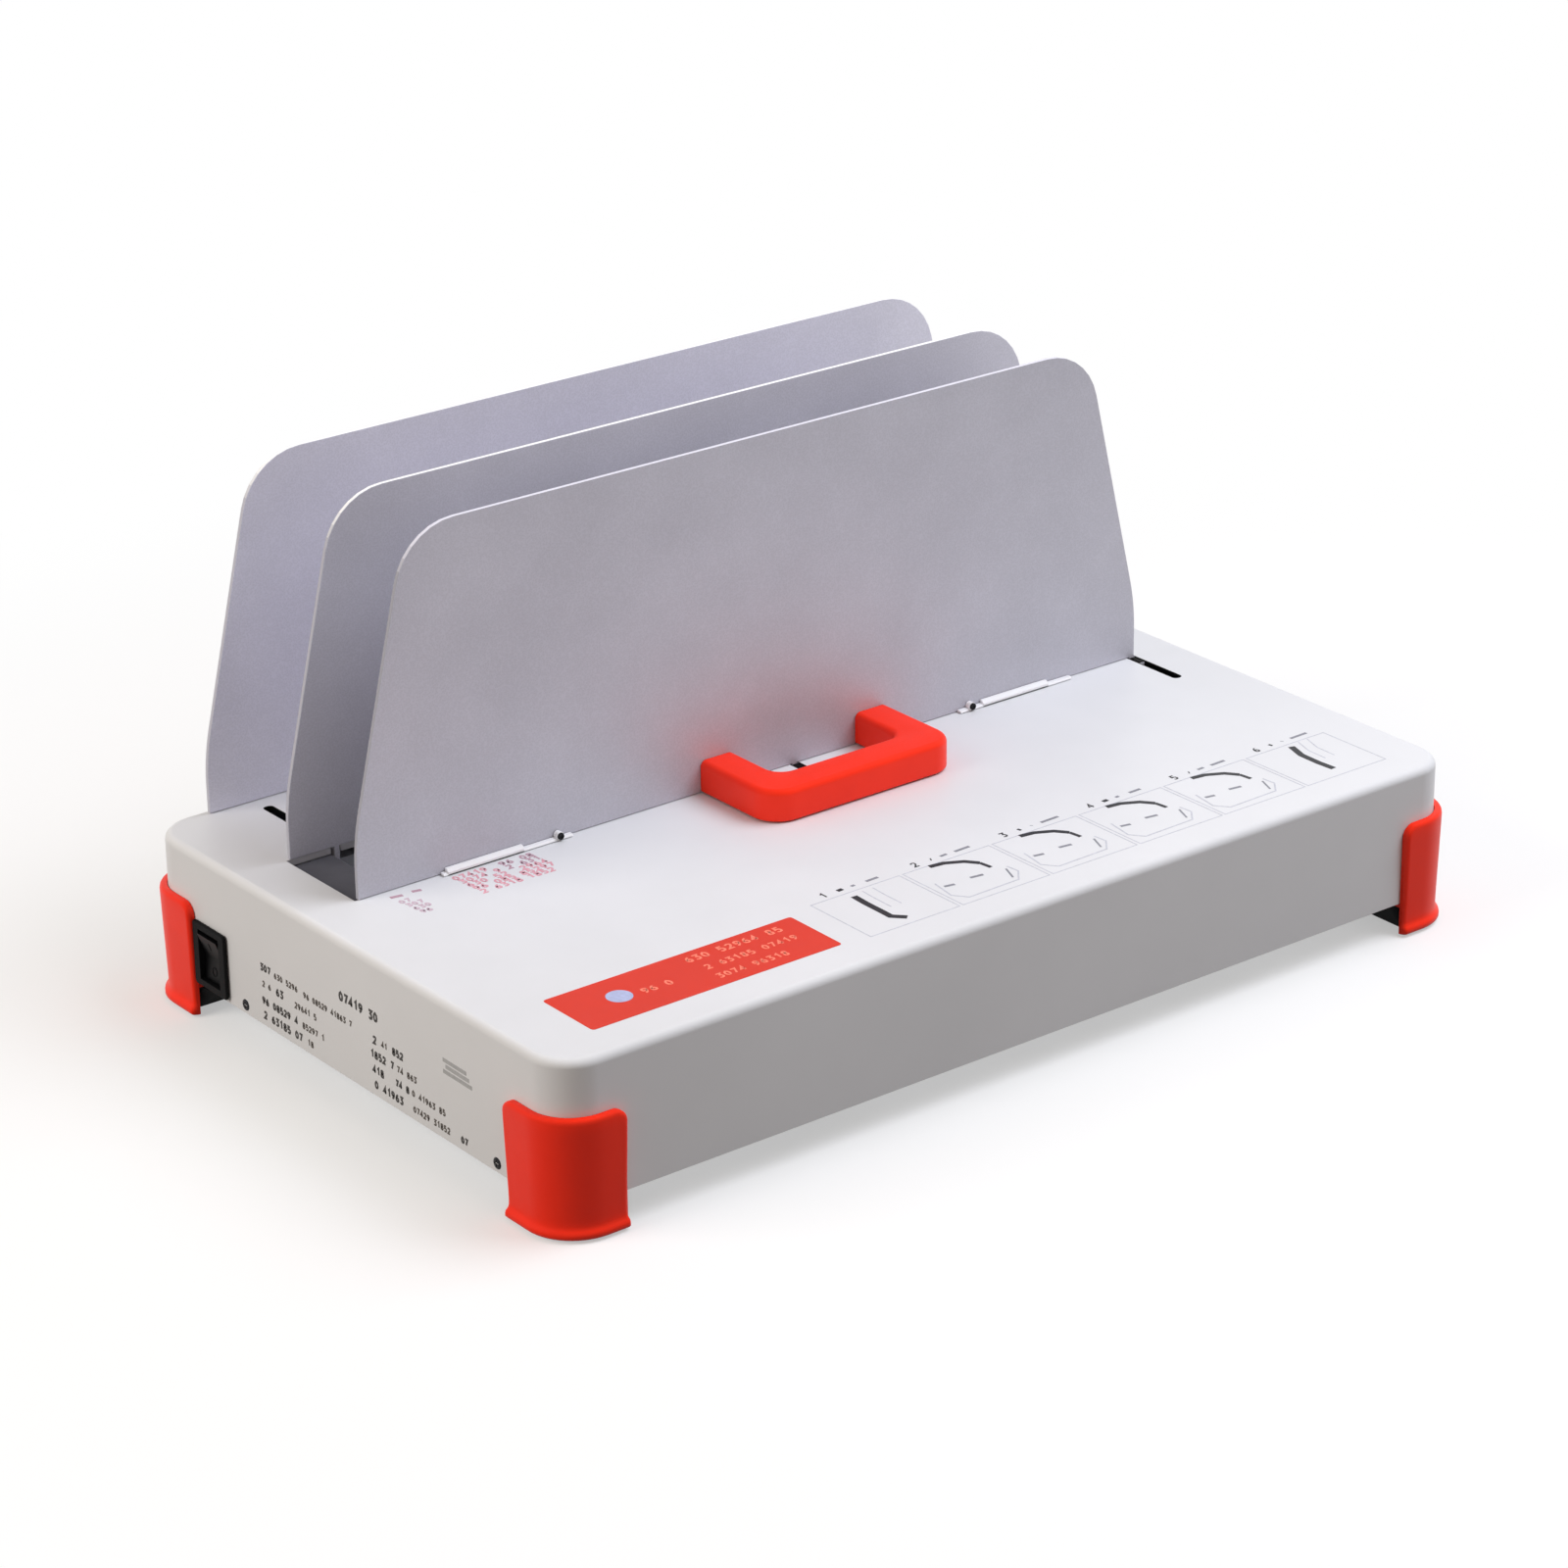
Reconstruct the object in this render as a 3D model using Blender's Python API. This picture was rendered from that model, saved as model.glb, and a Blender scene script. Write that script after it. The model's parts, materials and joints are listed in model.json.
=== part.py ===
"""A table-top thermal binding machine, modelled in Blender: metres, +Z up, +X to the right, +Y to the back.

The origin is on the table, under the centre of the machine. The front and middle plates slide towards and away
from each other: a rack on each carriage meshes with one pinion between them, so the document stays centred.
"""

import math

import bmesh
import bpy
from mathutils import Matrix, Vector

# Clearances and general values
GAP = 0.0003
OVERRUN = 0.002
FUSE = 0.0005

# Housing: a shell with rounded upright corners, open below
BASE_WIDTH = 0.400
BASE_DEPTH = 0.250
PANEL_Z = 0.064
COVER_LOW_Z = 0.0128
CORNER_R = 0.0155
PANEL_EDGE_R = 0.003
COVER_WALL = 0.0025

# The three sheet plates
PLATE_T = 0.0016
PLATE_RISE = 0.129
PLATE_INSET = 0.0225
FOOT_RISE = 0.0216
PLATE_TAPER = 0.0256
PLATE_CORNER_R = 0.025
PLATE_SHOULDER_R = 0.090
PLATE_EDGE = 0.0003
FRONT_PLATE_INSET = 0.1005
CLAMP_OPENING = 0.0433
REAR_PLATE_INSET = 0.0044

# The clamp's travel, each way from rest, and the slots in the panel that the plates' ears run in
TRAVEL = 0.020
TRAVEL_SPARE = 0.0010
EAR_T = 0.0022
EAR_REACH = 0.0070
EAR_SPARE_BELOW = 0.0006
SLOT_WIDTH = 0.0042
FRONT_SLOT_REACH = 0.0279
MIDDLE_SLOT_REACH = 0.0455
FRONT_INNER_EAR_X = 0.012
MIDDLE_EAR_INSET = 0.0195

# Carriages: a bar with a taller end block round each guide rod
BAR_INSET = 0.0015
BAR_DEPTH = 0.014
BAR_H = 0.008
BAR_DROP = 0.0035
BLOCK_SPARE = 0.0010
BLOCK_HALF = 0.0075
FRONT_BAR_SPARE = 0.0056
BAR_EDGE = 0.0008

# Guide rods, bushes and brackets
ROD_INSET = 0.0095
ROD_R = 0.003
BUSH_WALL = 0.0014
BUSH_FLANGE_R = 0.0058
BUSH_FLANGE_T = 0.0010
BRACKET_WIDTH = 0.014
BRACKET_T = 0.006
BRACKET_FOOT = 0.013
BRACKET_FOOT_T = 0.004
BRACKET_GUSSET = 0.010
BRACKET_TOP = 0.0055
BRACKET_SPARE = 0.0025
ROD_SEAT = 0.004
STUD_R = 0.0022
STUD_H = 0.0012

# Rack and pinion
MODULE = 0.0015
PINION_TEETH = 20
PRESSURE_ANGLE = math.radians(20)
TOOTH_RELIEF = 0.0003
DEDENDUM_SHARE = 1.25
FLANK_POINTS = 4
PINION_X = -0.040
GEAR_T = 0.006
GEAR_LIFT = 0.0024
HUB_R = 0.0060
HUB_RISE = 0.0015
POST_R = 0.0025
POST_HEAD_R = 0.0045
POST_HEAD_T = 0.0015
RACK_BACK = 0.0065
RACK_WIDTH_SPARE = 0.004
RACK_RISER_T = 0.004
RACK_FLANGE_WIDTH = 0.030
GUIDE_T = 0.002
GUIDE_LENGTH = 0.050

# Heater in its tray, below the trough
TRAY_INSET = 0.004
TRAY_DEPTH = 0.048
TRAY_TOP_DROP = 0.0147
TRAY_H = 0.0135
TRAY_WALL = 0.0010
INSULATION_T = 0.003
MAT_T = 0.0015
HOT_PLATE_T = 0.0050
HOT_PLATE_EDGE = 0.0008
HEATER_MARGIN = 0.0012
LEG_DEPTH = 0.030
LEG_FOOT = 0.008
LEG_T = 0.0015
THERMOSTAT_INSET = 0.094
THERMOSTAT_R = 0.008
THERMOSTAT_H = 0.009
THERMOSTAT_EAR_HALF = 0.0145
THERMOSTAT_EAR_T = 0.0008
FUSE_INSET = 0.054
FUSE_R = 0.003
FUSE_LENGTH = 0.014
FUSE_CLIP_T = 0.0012

# Floor pan
PAN_T = 0.0015
PAN_RIM = 0.009
VENT_LENGTH = 0.044
VENT_WIDTH = 0.004
VENT_PITCH_X = 0.060
VENT_PITCH_Y = 0.010
VENT_COLUMNS = 3
VENT_ROWS = 3
VENT_INSET = 0.080
VENT_FRONT_INSET = 0.063

# Corner guards, feet and their screws
GUARD_SIDE_WRAP = 0.029
GUARD_FRONT_WRAP = 0.025
GUARD_TOP_Z = 0.0415
GUARD_LOW_Z = 0.0010
GUARD_WALL = 0.0031
GUARD_WAIST = 0.0021
GUARD_LIP = 0.0036
GUARD_LIP_H = 0.0028
GUARD_LIP_SLOPE = 0.0012
GUARD_TOP_R = 0.005
GUARD_EDGE = 0.0006
LEDGE_T = 0.0012
FOOT_TOP_INSET = 0.0345
FOOT_LOW_INSET = 0.0225
FOOT_SIDE_INSET = 0.0012
FOOT_INNER_R = 0.005
FOOT_LOW_SIDE_INSET = 0.0024
FOOT_LOW_INNER_R = 0.0019
SCREW_INSET = 0.014
SCREW_R = 0.0016
SCREW_HEAD_R = 0.0036
SCREW_HEAD_T = 0.0024
SCREW_HEAD_Z = 0.0040
SCREW_TIP_Z = 0.0260
BOSS_R = 0.0045
BOSS_HOLE_DEPTH = 0.016

# Rear plate's tabs and their screws
TAB_INSET = 0.100
TAB_WIDTH = 0.050
TAB_DROP = 0.024
TAB_SCREW_DROP = 0.014
PAD_HALF = 0.008
SMALL_SCREW_R = 0.0013
SMALL_HEAD_R = 0.0026
SMALL_HEAD_T = 0.0018
SMALL_SCREW_END = 0.0010

# Handle at the front plate's foot
HANDLE_X = 0.012
HANDLE_WIDTH = 0.086
HANDLE_REACH = 0.0415
HANDLE_LEG = 0.015
HANDLE_BAR = 0.0155
HANDLE_H = 0.0120
HANDLE_LIFT = 0.0006
HANDLE_OUTER_R = 0.010
HANDLE_INNER_R = 0.006
HANDLE_EDGE = 0.0018
HANDLE_SCREW_LENGTH = 0.009

# Glide strips on the front plate's foot
GLIDE_INSET = 0.0335
GLIDE_LENGTH = 0.0555
GLIDE_DEPTH = 0.0022
GLIDE_H = 0.0030
GLIDE_EDGE = 0.0008
GLIDE_SCREW_INSET = 0.0060
GLIDE_SCREW_R = 0.0006
GLIDE_HEAD_R = 0.0013
GLIDE_HEAD_T = 0.0007

# Power switch on the left face, beside the rear guard
SWITCH_WIDTH = 0.0207
SWITCH_H = 0.0247
SWITCH_LOW = 0.0014
SWITCH_PROUD = 0.0015
SWITCH_RIM = 0.0022
SWITCH_BODY_DEPTH = 0.014
SWITCH_POCKET_DEPTH = 0.0105
SWITCH_POCKET_RIM = 0.0016
ROCKER_TILT = math.radians(8)
ROCKER_PIVOT_DEPTH = 0.0040
ROCKER_CREST = 0.0034
ROCKER_DIP = 0.0016
ROCKER_BACK = 0.0012
ROCKER_BELLY = 0.0045
ROCKER_GAP = 0.0004
ROCKER_SWING_GAP = 0.0007
PIVOT_PIN_R = 0.0010
PIVOT_PIN_SEAT = 0.0012

# Appliance inlet on the back face
INLET_INSET = 0.054
INLET_Z = 0.038
INLET_WIDTH = 0.031
INLET_H = 0.024
INLET_PROUD = 0.0022
INLET_RIM = 0.0019
INLET_BODY_DEPTH = 0.0165
SOCKET_WIDTH = 0.0240
SOCKET_H = 0.0165
SOCKET_DEPTH = 0.0150
SOCKET_CUT_CORNER = 0.0045
PIN_LENGTH = 0.0115
PIN_T = 0.0020
PIN_H = 0.0040
PIN_SPACING = 0.0070
PIN_OFFSET = 0.0020

# Control board and what stands on it
BOARD_X = -0.010
BOARD_INSET = 0.053
BOARD_WIDTH = 0.104
BOARD_DEPTH = 0.056
BOARD_T = 0.0016
BOARD_LIFT = 0.008
BOARD_POST_R = 0.003
BOARD_POST_INSET = 0.005
TRANSFORMER_OFFSET = 0.030
TRANSFORMER_SIZE = (0.032, 0.028, 0.026)
TRANSFORMER_CORE = 0.004
RELAY_OFFSET = -0.006
RELAY_SIZE = (0.019, 0.0155, 0.015)
TERMINAL_OFFSET = -0.032
TERMINAL_SIZE = (0.012, 0.040, 0.010)
TERMINAL_PORTS = 4
TERMINAL_PORT = 0.0050
CAPACITOR_OFFSET = -0.006
CAPACITOR_BACK = 0.014
CAPACITOR_R = 0.005
CAPACITOR_H = 0.016

# Inner leads. Each point of a route starts with the name in LEAD_PLACES of what it is measured from.
LEAD_R = 0.0018
LEAD_STEP = 0.0100
LEAD_ROUTES = {
    "inlet_lead": [
        ("corner", 0.0540, -0.0171, 0.0380),
        ("corner", 0.0540, -0.0230, 0.0370),
        ("corner", 0.0520, -0.0310, 0.0280),
        ("corner", 0.0440, -0.0360, 0.0205),
        ("corner", 0.0320, -0.0360, 0.0210),
        ("corner", 0.0240, -0.0350, 0.0220),
        ("corner", 0.0148, -0.0350, 0.0220),
    ],
    "switch_lead": [
        ("corner", 0.0148, -0.0350, 0.0300),
        ("corner", 0.0190, -0.0360, 0.0290),
        ("corner", 0.0180, -0.0490, 0.0200),
        ("corner", 0.0170, -0.0850, 0.0175),
        ("side", 0.0170, -0.0485, 0.0175),
        ("side", 0.0260, -0.0725, 0.0175),
        ("board", -0.1300, 0.0020, 0.0175),
        ("board", -0.0800, -0.0110, 0.0200),
        ("board", -0.0580, -0.0150, 0.0280),
        ("board", -0.0460, -0.0150, 0.0292),
        ("board", -0.0370, -0.0150, 0.0292),
    ],
    "heater_lead": [
        ("board", -0.0370, 0.0150, 0.0292),
        ("board", -0.0460, 0.0150, 0.0292),
        ("board", -0.0565, 0.0170, 0.0270),
        ("board", -0.0590, 0.0270, 0.0200),
        ("board", -0.0500, 0.0360, 0.0175),
        ("board", -0.0100, 0.0390, 0.0175),
        ("board", 0.0500, 0.0420, 0.0175),
        ("board", 0.1100, 0.0620, 0.0180),
        ("tray", -0.0250, -0.0221, 0.0190),
        ("tray", -0.0220, -0.0061, 0.0230),
        ("tray", -0.0220, 0.0001, 0.0300),
        ("tray", -0.0220, 0.0001, 0.0350),
    ],
}

# A bevel's profile at which it is round, and the middle of one step of a row
ROUND_PROFILE_SHARE = 0.5
MID_STEP_SHARE = 0.5

# Facet counts
CORNER_STEPS = 7
EDGE_STEPS = 3
ROUND_STEPS = 20
SMALL_ROUND_STEPS = 12
LEAD_SIDES_RESOLUTION = 2

# Places worked out from the sizes above
HALF_WIDTH = BASE_WIDTH / 2
HALF_DEPTH = BASE_DEPTH / 2
FOOT_HALF = HALF_WIDTH - PLATE_INSET
TOP_HALF = FOOT_HALF - PLATE_TAPER
MIDDLE_EAR_X = FOOT_HALF - MIDDLE_EAR_INSET
ROD_X = FOOT_HALF - ROD_INSET
BLOCK_INNER_X = ROD_X - BLOCK_HALF
BAR_END_X = ROD_X + BLOCK_HALF
TRAY_HALF_X = MIDDLE_EAR_X - TRAY_INSET
THERMOSTAT_X = TRAY_HALF_X - THERMOSTAT_INSET
FUSE_X = TRAY_HALF_X - FUSE_INSET
TAB_X = HALF_WIDTH - TAB_INSET
GLIDE_OUTER_X = FOOT_HALF - GLIDE_INSET
GLIDE_INNER_X = GLIDE_OUTER_X - GLIDE_LENGTH
GLIDE_SCREW_X = GLIDE_INNER_X + GLIDE_SCREW_INSET
INLET_X = INLET_INSET - HALF_WIDTH
FRONT_PLATE_Y = HALF_DEPTH - FRONT_PLATE_INSET
MIDDLE_PLATE_Y = FRONT_PLATE_Y + CLAMP_OPENING
BOARD_Y = BOARD_INSET - HALF_DEPTH
TRANSFORMER_X = BOARD_X + TRANSFORMER_OFFSET
RELAY_X = BOARD_X + RELAY_OFFSET
TERMINAL_X = BOARD_X + TERMINAL_OFFSET
CAPACITOR_X = BOARD_X + CAPACITOR_OFFSET
CAPACITOR_Y = BOARD_Y + CAPACITOR_BACK
VENT_X = HALF_WIDTH - VENT_INSET
VENT_Y = VENT_FRONT_INSET - HALF_DEPTH
TROUGH_Y = (FRONT_PLATE_Y + MIDDLE_PLATE_Y) / 2
REAR_PLATE_Y = HALF_DEPTH - REAR_PLATE_INSET
PLATE_FOOT_Z = PANEL_Z + GAP
PLATE_TOP_Z = PANEL_Z + PLATE_RISE
PANEL_LOW_Z = PANEL_Z - COVER_WALL
FRONT_END_EAR_X = FOOT_HALF - EAR_T / 2
FRONT_BAR_RIGHT_X = FRONT_END_EAR_X + FRONT_BAR_SPARE
OPENING_HALF = FRONT_END_EAR_X + SLOT_WIDTH / 2
BAR_HIGH_Z = PANEL_LOW_Z - BAR_DROP
BAR_LOW_Z = BAR_HIGH_Z - BAR_H
ROD_Z = (BAR_HIGH_Z + BAR_LOW_Z) / 2
EAR_LOW_Z = BAR_LOW_Z + EAR_SPARE_BELOW
BLOCK_HIGH_Z = PANEL_LOW_Z - BLOCK_SPARE
BLOCK_LOW_Z = 2 * ROD_Z - BLOCK_HIGH_Z
BAR_OUTER = BAR_INSET + BAR_DEPTH
BUSH_R = ROD_R + GAP + BUSH_WALL
PAN_LOW_Z = COVER_LOW_Z
PAN_TOP_Z = PAN_LOW_Z + PAN_T
PAN_SEAT_Z = PAN_TOP_Z + GAP
PAN_HALF_X = HALF_WIDTH - COVER_WALL - GAP
PAN_HALF_Y = HALF_DEPTH - COVER_WALL - GAP
PAN_R = CORNER_R - COVER_WALL - GAP
TRAY_TOP_Z = PANEL_Z - TRAY_TOP_DROP
TRAY_LOW_Z = TRAY_TOP_Z - TRAY_H
TRAY_FRONT_Y = TROUGH_Y - TRAY_DEPTH / 2
TRAY_BACK_Y = TROUGH_Y + TRAY_DEPTH / 2
INSULATION_LOW_Z = TRAY_LOW_Z + TRAY_WALL + GAP
MAT_LOW_Z = INSULATION_LOW_Z + INSULATION_T + GAP
HOT_PLATE_LOW_Z = MAT_LOW_Z + MAT_T + GAP
HOT_PLATE_TOP_Z = HOT_PLATE_LOW_Z + HOT_PLATE_T
RISER_INNER = FRONT_PLATE_Y - TRAY_FRONT_Y + TRAVEL + TRAVEL_SPARE
RISER_OUTER = RISER_INNER + RACK_RISER_T
PITCH_R = MODULE * PINION_TEETH / 2
TIP_R = PITCH_R + MODULE
DEDENDUM = DEDENDUM_SHARE * MODULE
ROOT_R = PITCH_R - DEDENDUM
TOOTH_PITCH = math.pi * MODULE
TOOTH_THICKNESS = TOOTH_PITCH / 2 - TOOTH_RELIEF
GEAR_LOW_Z = PAN_SEAT_Z + GEAR_LIFT
GEAR_TOP_Z = GEAR_LOW_Z + GEAR_T
RACK_OUTER = PITCH_R + DEDENDUM + RACK_BACK
SWITCH_Y = HALF_DEPTH - GUARD_SIDE_WRAP - GAP - SWITCH_WIDTH / 2
SWITCH_Z = COVER_LOW_Z + SWITCH_LOW + SWITCH_H / 2
ROCKER_X = -HALF_WIDTH - GAP - SWITCH_PROUD + ROCKER_PIVOT_DEPTH
POCKET_WIDTH = SWITCH_WIDTH - 2 * (SWITCH_RIM + SWITCH_POCKET_RIM)
POCKET_H = SWITCH_H - 2 * (SWITCH_RIM + SWITCH_POCKET_RIM) + SWITCH_RIM
BOARD_LOW_Z = PAN_TOP_Z + BOARD_LIFT
BOARD_TOP_Z = BOARD_LOW_Z + BOARD_T
SEAT_ON_BOARD_Z = BOARD_TOP_Z + GAP
HANDLE_LOW_Z = PANEL_Z + HANDLE_LIFT
PLATE_FRONT = PLATE_T / 2
FRONT_FACE_Y = FRONT_PLATE_Y - PLATE_FRONT
TAB_SCREW_Z = PANEL_Z - TAB_SCREW_DROP
LEAD_PLACES = {
    "corner": (-HALF_WIDTH, HALF_DEPTH),
    "side": (-HALF_WIDTH, FRONT_PLATE_Y),
    "board": (BOARD_X, BOARD_Y),
    "tray": (TRAY_HALF_X, TROUGH_Y),
}

# Colour, roughness and metallic value of each finish
FINISHES = {
    "white_abs": ((0.78, 0.79, 0.87), 0.42, 0.0),
    "orange_abs": ((0.93, 0.07, 0.02), 0.38, 0.0),
    "silver_sheet": ((0.48, 0.48, 0.56), 0.45, 0.55),
    "black_rubber": ((0.015, 0.015, 0.015), 0.85, 0.0),
    "black_plastic": ((0.012, 0.012, 0.013), 0.45, 0.0),
    "white_nylon": ((0.85, 0.85, 0.88), 0.35, 0.0),
    "zinc_steel": ((0.60, 0.60, 0.58), 0.38, 1.0),
    "dark_steel": ((0.05, 0.05, 0.06), 0.40, 0.9),
    "ground_steel": ((0.70, 0.70, 0.70), 0.20, 1.0),
    "aluminium": ((0.75, 0.75, 0.76), 0.32, 1.0),
    "acetal": ((0.72, 0.72, 0.68), 0.45, 0.0),
    "glass_fibre": ((0.80, 0.74, 0.58), 0.90, 0.0),
    "silicone": ((0.45, 0.10, 0.06), 0.60, 0.0),
    "board_green": ((0.03, 0.22, 0.10), 0.50, 0.0),
    "relay_blue": ((0.05, 0.15, 0.45), 0.40, 0.0),
    "terminal_green": ((0.05, 0.35, 0.12), 0.45, 0.0),
    "lead_grey": ((0.12, 0.12, 0.13), 0.55, 0.0),
}


def clear_scene():
    for obj in list(bpy.data.objects):
        bpy.data.objects.remove(obj, do_unlink=True)


def paint(obj, finish):
    """Gives the object its own Principled material."""
    colour, roughness, metallic = FINISHES[finish]
    material = bpy.data.materials.new(f"{obj.name}_{finish}")
    material.use_nodes = True
    shader = material.node_tree.nodes["Principled BSDF"]
    shader.inputs["Base Color"].default_value = (*colour, 1)
    shader.inputs["Roughness"].default_value = roughness
    shader.inputs["Metallic"].default_value = metallic
    material.diffuse_color = (*colour, 1)
    obj.data.materials.append(material)


def add_shape(target, shape, matrix=None):
    """Adds one closed shape to the bmesh that collects an object's shapes."""
    bmesh.ops.recalc_face_normals(shape, faces=shape.faces)
    if matrix is not None:
        shape.transform(matrix)
    mesh = bpy.data.meshes.new("shape")
    shape.to_mesh(mesh)
    shape.free()
    target.from_mesh(mesh)
    bpy.data.meshes.remove(mesh)


def add_prism(target, outline, axis, low, high, matrix=None):
    """Adds an outline in the plane across the axis, extruded from low to high along it."""
    places = {
        "X": lambda u, v: (low, u, v),
        "Y": lambda u, v: (u, low, v),
        "Z": lambda u, v: (u, v, low),
    }
    ways = {"X": (high - low, 0, 0), "Y": (0, high - low, 0), "Z": (0, 0, high - low)}
    shape = bmesh.new()
    ring = [shape.verts.new(places[axis](point[0], point[1])) for point in outline]
    face = shape.faces.new(ring)
    swept = bmesh.ops.extrude_face_region(shape, geom=[face])["geom"]
    moved = [item for item in swept if isinstance(item, bmesh.types.BMVert)]
    bmesh.ops.translate(shape, verts=moved, vec=ways[axis])
    add_shape(target, shape, matrix)


def add_box(target, low, high):
    outline = [(low[0], low[1]), (high[0], low[1]), (high[0], high[1]), (low[0], high[1])]
    add_prism(target, outline, "Z", low[2], high[2])


def add_turned(target, profile, place, direction, steps):
    """Adds a body of revolution: (radius, height) points from its foot to its top, turned round the direction."""
    shape = bmesh.new()
    verts = [shape.verts.new((radius, 0, height)) for radius, height in profile]
    edges = [shape.edges.new(pair) for pair in zip(verts, verts[1:])]
    if profile[0][0] > 0:
        edges.append(shape.edges.new((verts[-1], verts[0])))
    bmesh.ops.spin(
        shape, geom=verts + edges, cent=(0, 0, 0), axis=(0, 0, 1), angle=math.tau, steps=steps, use_merge=True
    )
    bmesh.ops.remove_doubles(shape, verts=shape.verts, dist=GAP / 100)
    turn = Vector((0, 0, 1)).rotation_difference(Vector(direction)).to_matrix().to_4x4()
    add_shape(target, shape, Matrix.Translation(place) @ turn)


def add_cylinder(target, radius, low, high, place, direction, steps=ROUND_STEPS):
    add_turned(target, [(0, low), (radius, low), (radius, high), (0, high)], place, direction, steps)


def rounded(corners, steps=CORNER_STEPS):
    """The outline through the corners (x, y, radius), with an arc of that radius at each one."""
    points = []
    for index, (x, y, radius) in enumerate(corners):
        here = Vector((x, y))
        if not radius:
            points.append((x, y))
            continue
        back = (Vector(corners[index - 1][:2]) - here).normalized()
        ahead = (Vector(corners[(index + 1) % len(corners)][:2]) - here).normalized()
        half = back.angle(ahead) / 2
        centre = here + (back + ahead).normalized() * (radius / math.sin(half))
        start = here + back * (radius / math.tan(half)) - centre
        turn = math.copysign(math.pi - 2 * half, ahead.cross(back))
        for step in range(steps + 1):
            share = step / steps
            arm = Matrix.Rotation(turn * share, 2) @ start
            points.append(tuple(centre + arm))
    return points


def rounded_rectangle(half_x, half_y, radius, steps=CORNER_STEPS):
    corners = [(-half_x, -half_y), (half_x, -half_y), (half_x, half_y), (-half_x, half_y)]
    return rounded([(x, y, radius) for x, y in corners], steps)


def make_object(name, shapes, finish=None, smooth_angle=math.radians(40)):
    """Turns the collected shapes into an object. One with no finish is a cutter, which isn't part of the model."""
    mesh = bpy.data.meshes.new(name)
    shapes.to_mesh(mesh)
    shapes.free()
    mesh.shade_smooth()
    mesh.set_sharp_from_angle(angle=smooth_angle)
    obj = bpy.data.objects.new(name, mesh)
    bpy.context.scene.collection.objects.link(obj)
    if finish:
        paint(obj, finish)
    else:
        obj.hide_render = True
        obj.display_type = "WIRE"
    return obj


def combine(target, other, operation):
    modifier = target.modifiers.new(f"{operation.lower()}_{other.name}", "BOOLEAN")
    modifier.operation = operation
    modifier.solver = "EXACT"
    modifier.object = other


def cut(target, shapes, name):
    combine(target, make_object(f"{target.name}_{name}", shapes), "DIFFERENCE")


def fuse(target, shapes, name):
    combine(target, make_object(f"{target.name}_{name}", shapes), "UNION")


def soften(obj, width, segments, angle=math.radians(40)):
    modifier = obj.modifiers.new("soft_edges", "BEVEL")
    modifier.width = width
    modifier.segments = segments
    modifier.limit_method = "ANGLE"
    modifier.angle_limit = angle


def carry(parent, pieces):
    """Parents the pieces to the empty on their joint's axis, where they stand."""
    bpy.context.view_layer.update()
    for piece in pieces:
        piece.parent = parent
        piece.matrix_parent_inverse = parent.matrix_world.inverted()


def joint_empty(name, place, direction=(0, 0, 1)):
    empty = bpy.data.objects.new(name, None)
    empty.location = place
    empty.rotation_mode = "QUATERNION"
    empty.rotation_quaternion = Vector((0, 0, 1)).rotation_difference(Vector(direction))
    bpy.context.scene.collection.objects.link(empty)
    return empty


def corners_of_base():
    """The four corners: a name, and the side of the middle that each lies on."""
    return [
        ("front_left", -1, -1),
        ("front_right", 1, -1),
        ("rear_left", -1, 1),
        ("rear_right", 1, 1),
    ]


def screw_places():
    """Where the foot screws stand."""
    reach_x = HALF_WIDTH - SCREW_INSET
    reach_y = HALF_DEPTH - SCREW_INSET
    return {name: (side_x * reach_x, side_y * reach_y) for name, side_x, side_y in corners_of_base()}


def trough_outline():
    """The panel's opening, with the slots that the plates' ears run out in."""
    half = SLOT_WIDTH / 2
    slot_r = half - GAP
    front, back = FRONT_PLATE_Y, MIDDLE_PLATE_Y
    front_end, back_end = front - FRONT_SLOT_REACH, back + MIDDLE_SLOT_REACH
    inner_ear, end_ear = FRONT_INNER_EAR_X, FRONT_END_EAR_X
    corners = [
        (-OPENING_HALF, front, 0),
        (inner_ear - half, front, 0),
        (inner_ear - half, front_end, slot_r),
        (inner_ear + half, front_end, slot_r),
        (inner_ear + half, front, 0),
        (end_ear - half, front, 0),
        (end_ear - half, front_end, slot_r),
        (OPENING_HALF, front_end, slot_r),
        (OPENING_HALF, back, 0),
        (MIDDLE_EAR_X + half, back, 0),
        (MIDDLE_EAR_X + half, back_end, slot_r),
        (MIDDLE_EAR_X - half, back_end, slot_r),
        (MIDDLE_EAR_X - half, back, 0),
        (half - MIDDLE_EAR_X, back, 0),
        (half - MIDDLE_EAR_X, back_end, slot_r),
        (-half - MIDDLE_EAR_X, back_end, slot_r),
        (-half - MIDDLE_EAR_X, back, 0),
        (-OPENING_HALF, back, 0),
    ]
    return rounded(corners, EDGE_STEPS)


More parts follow.
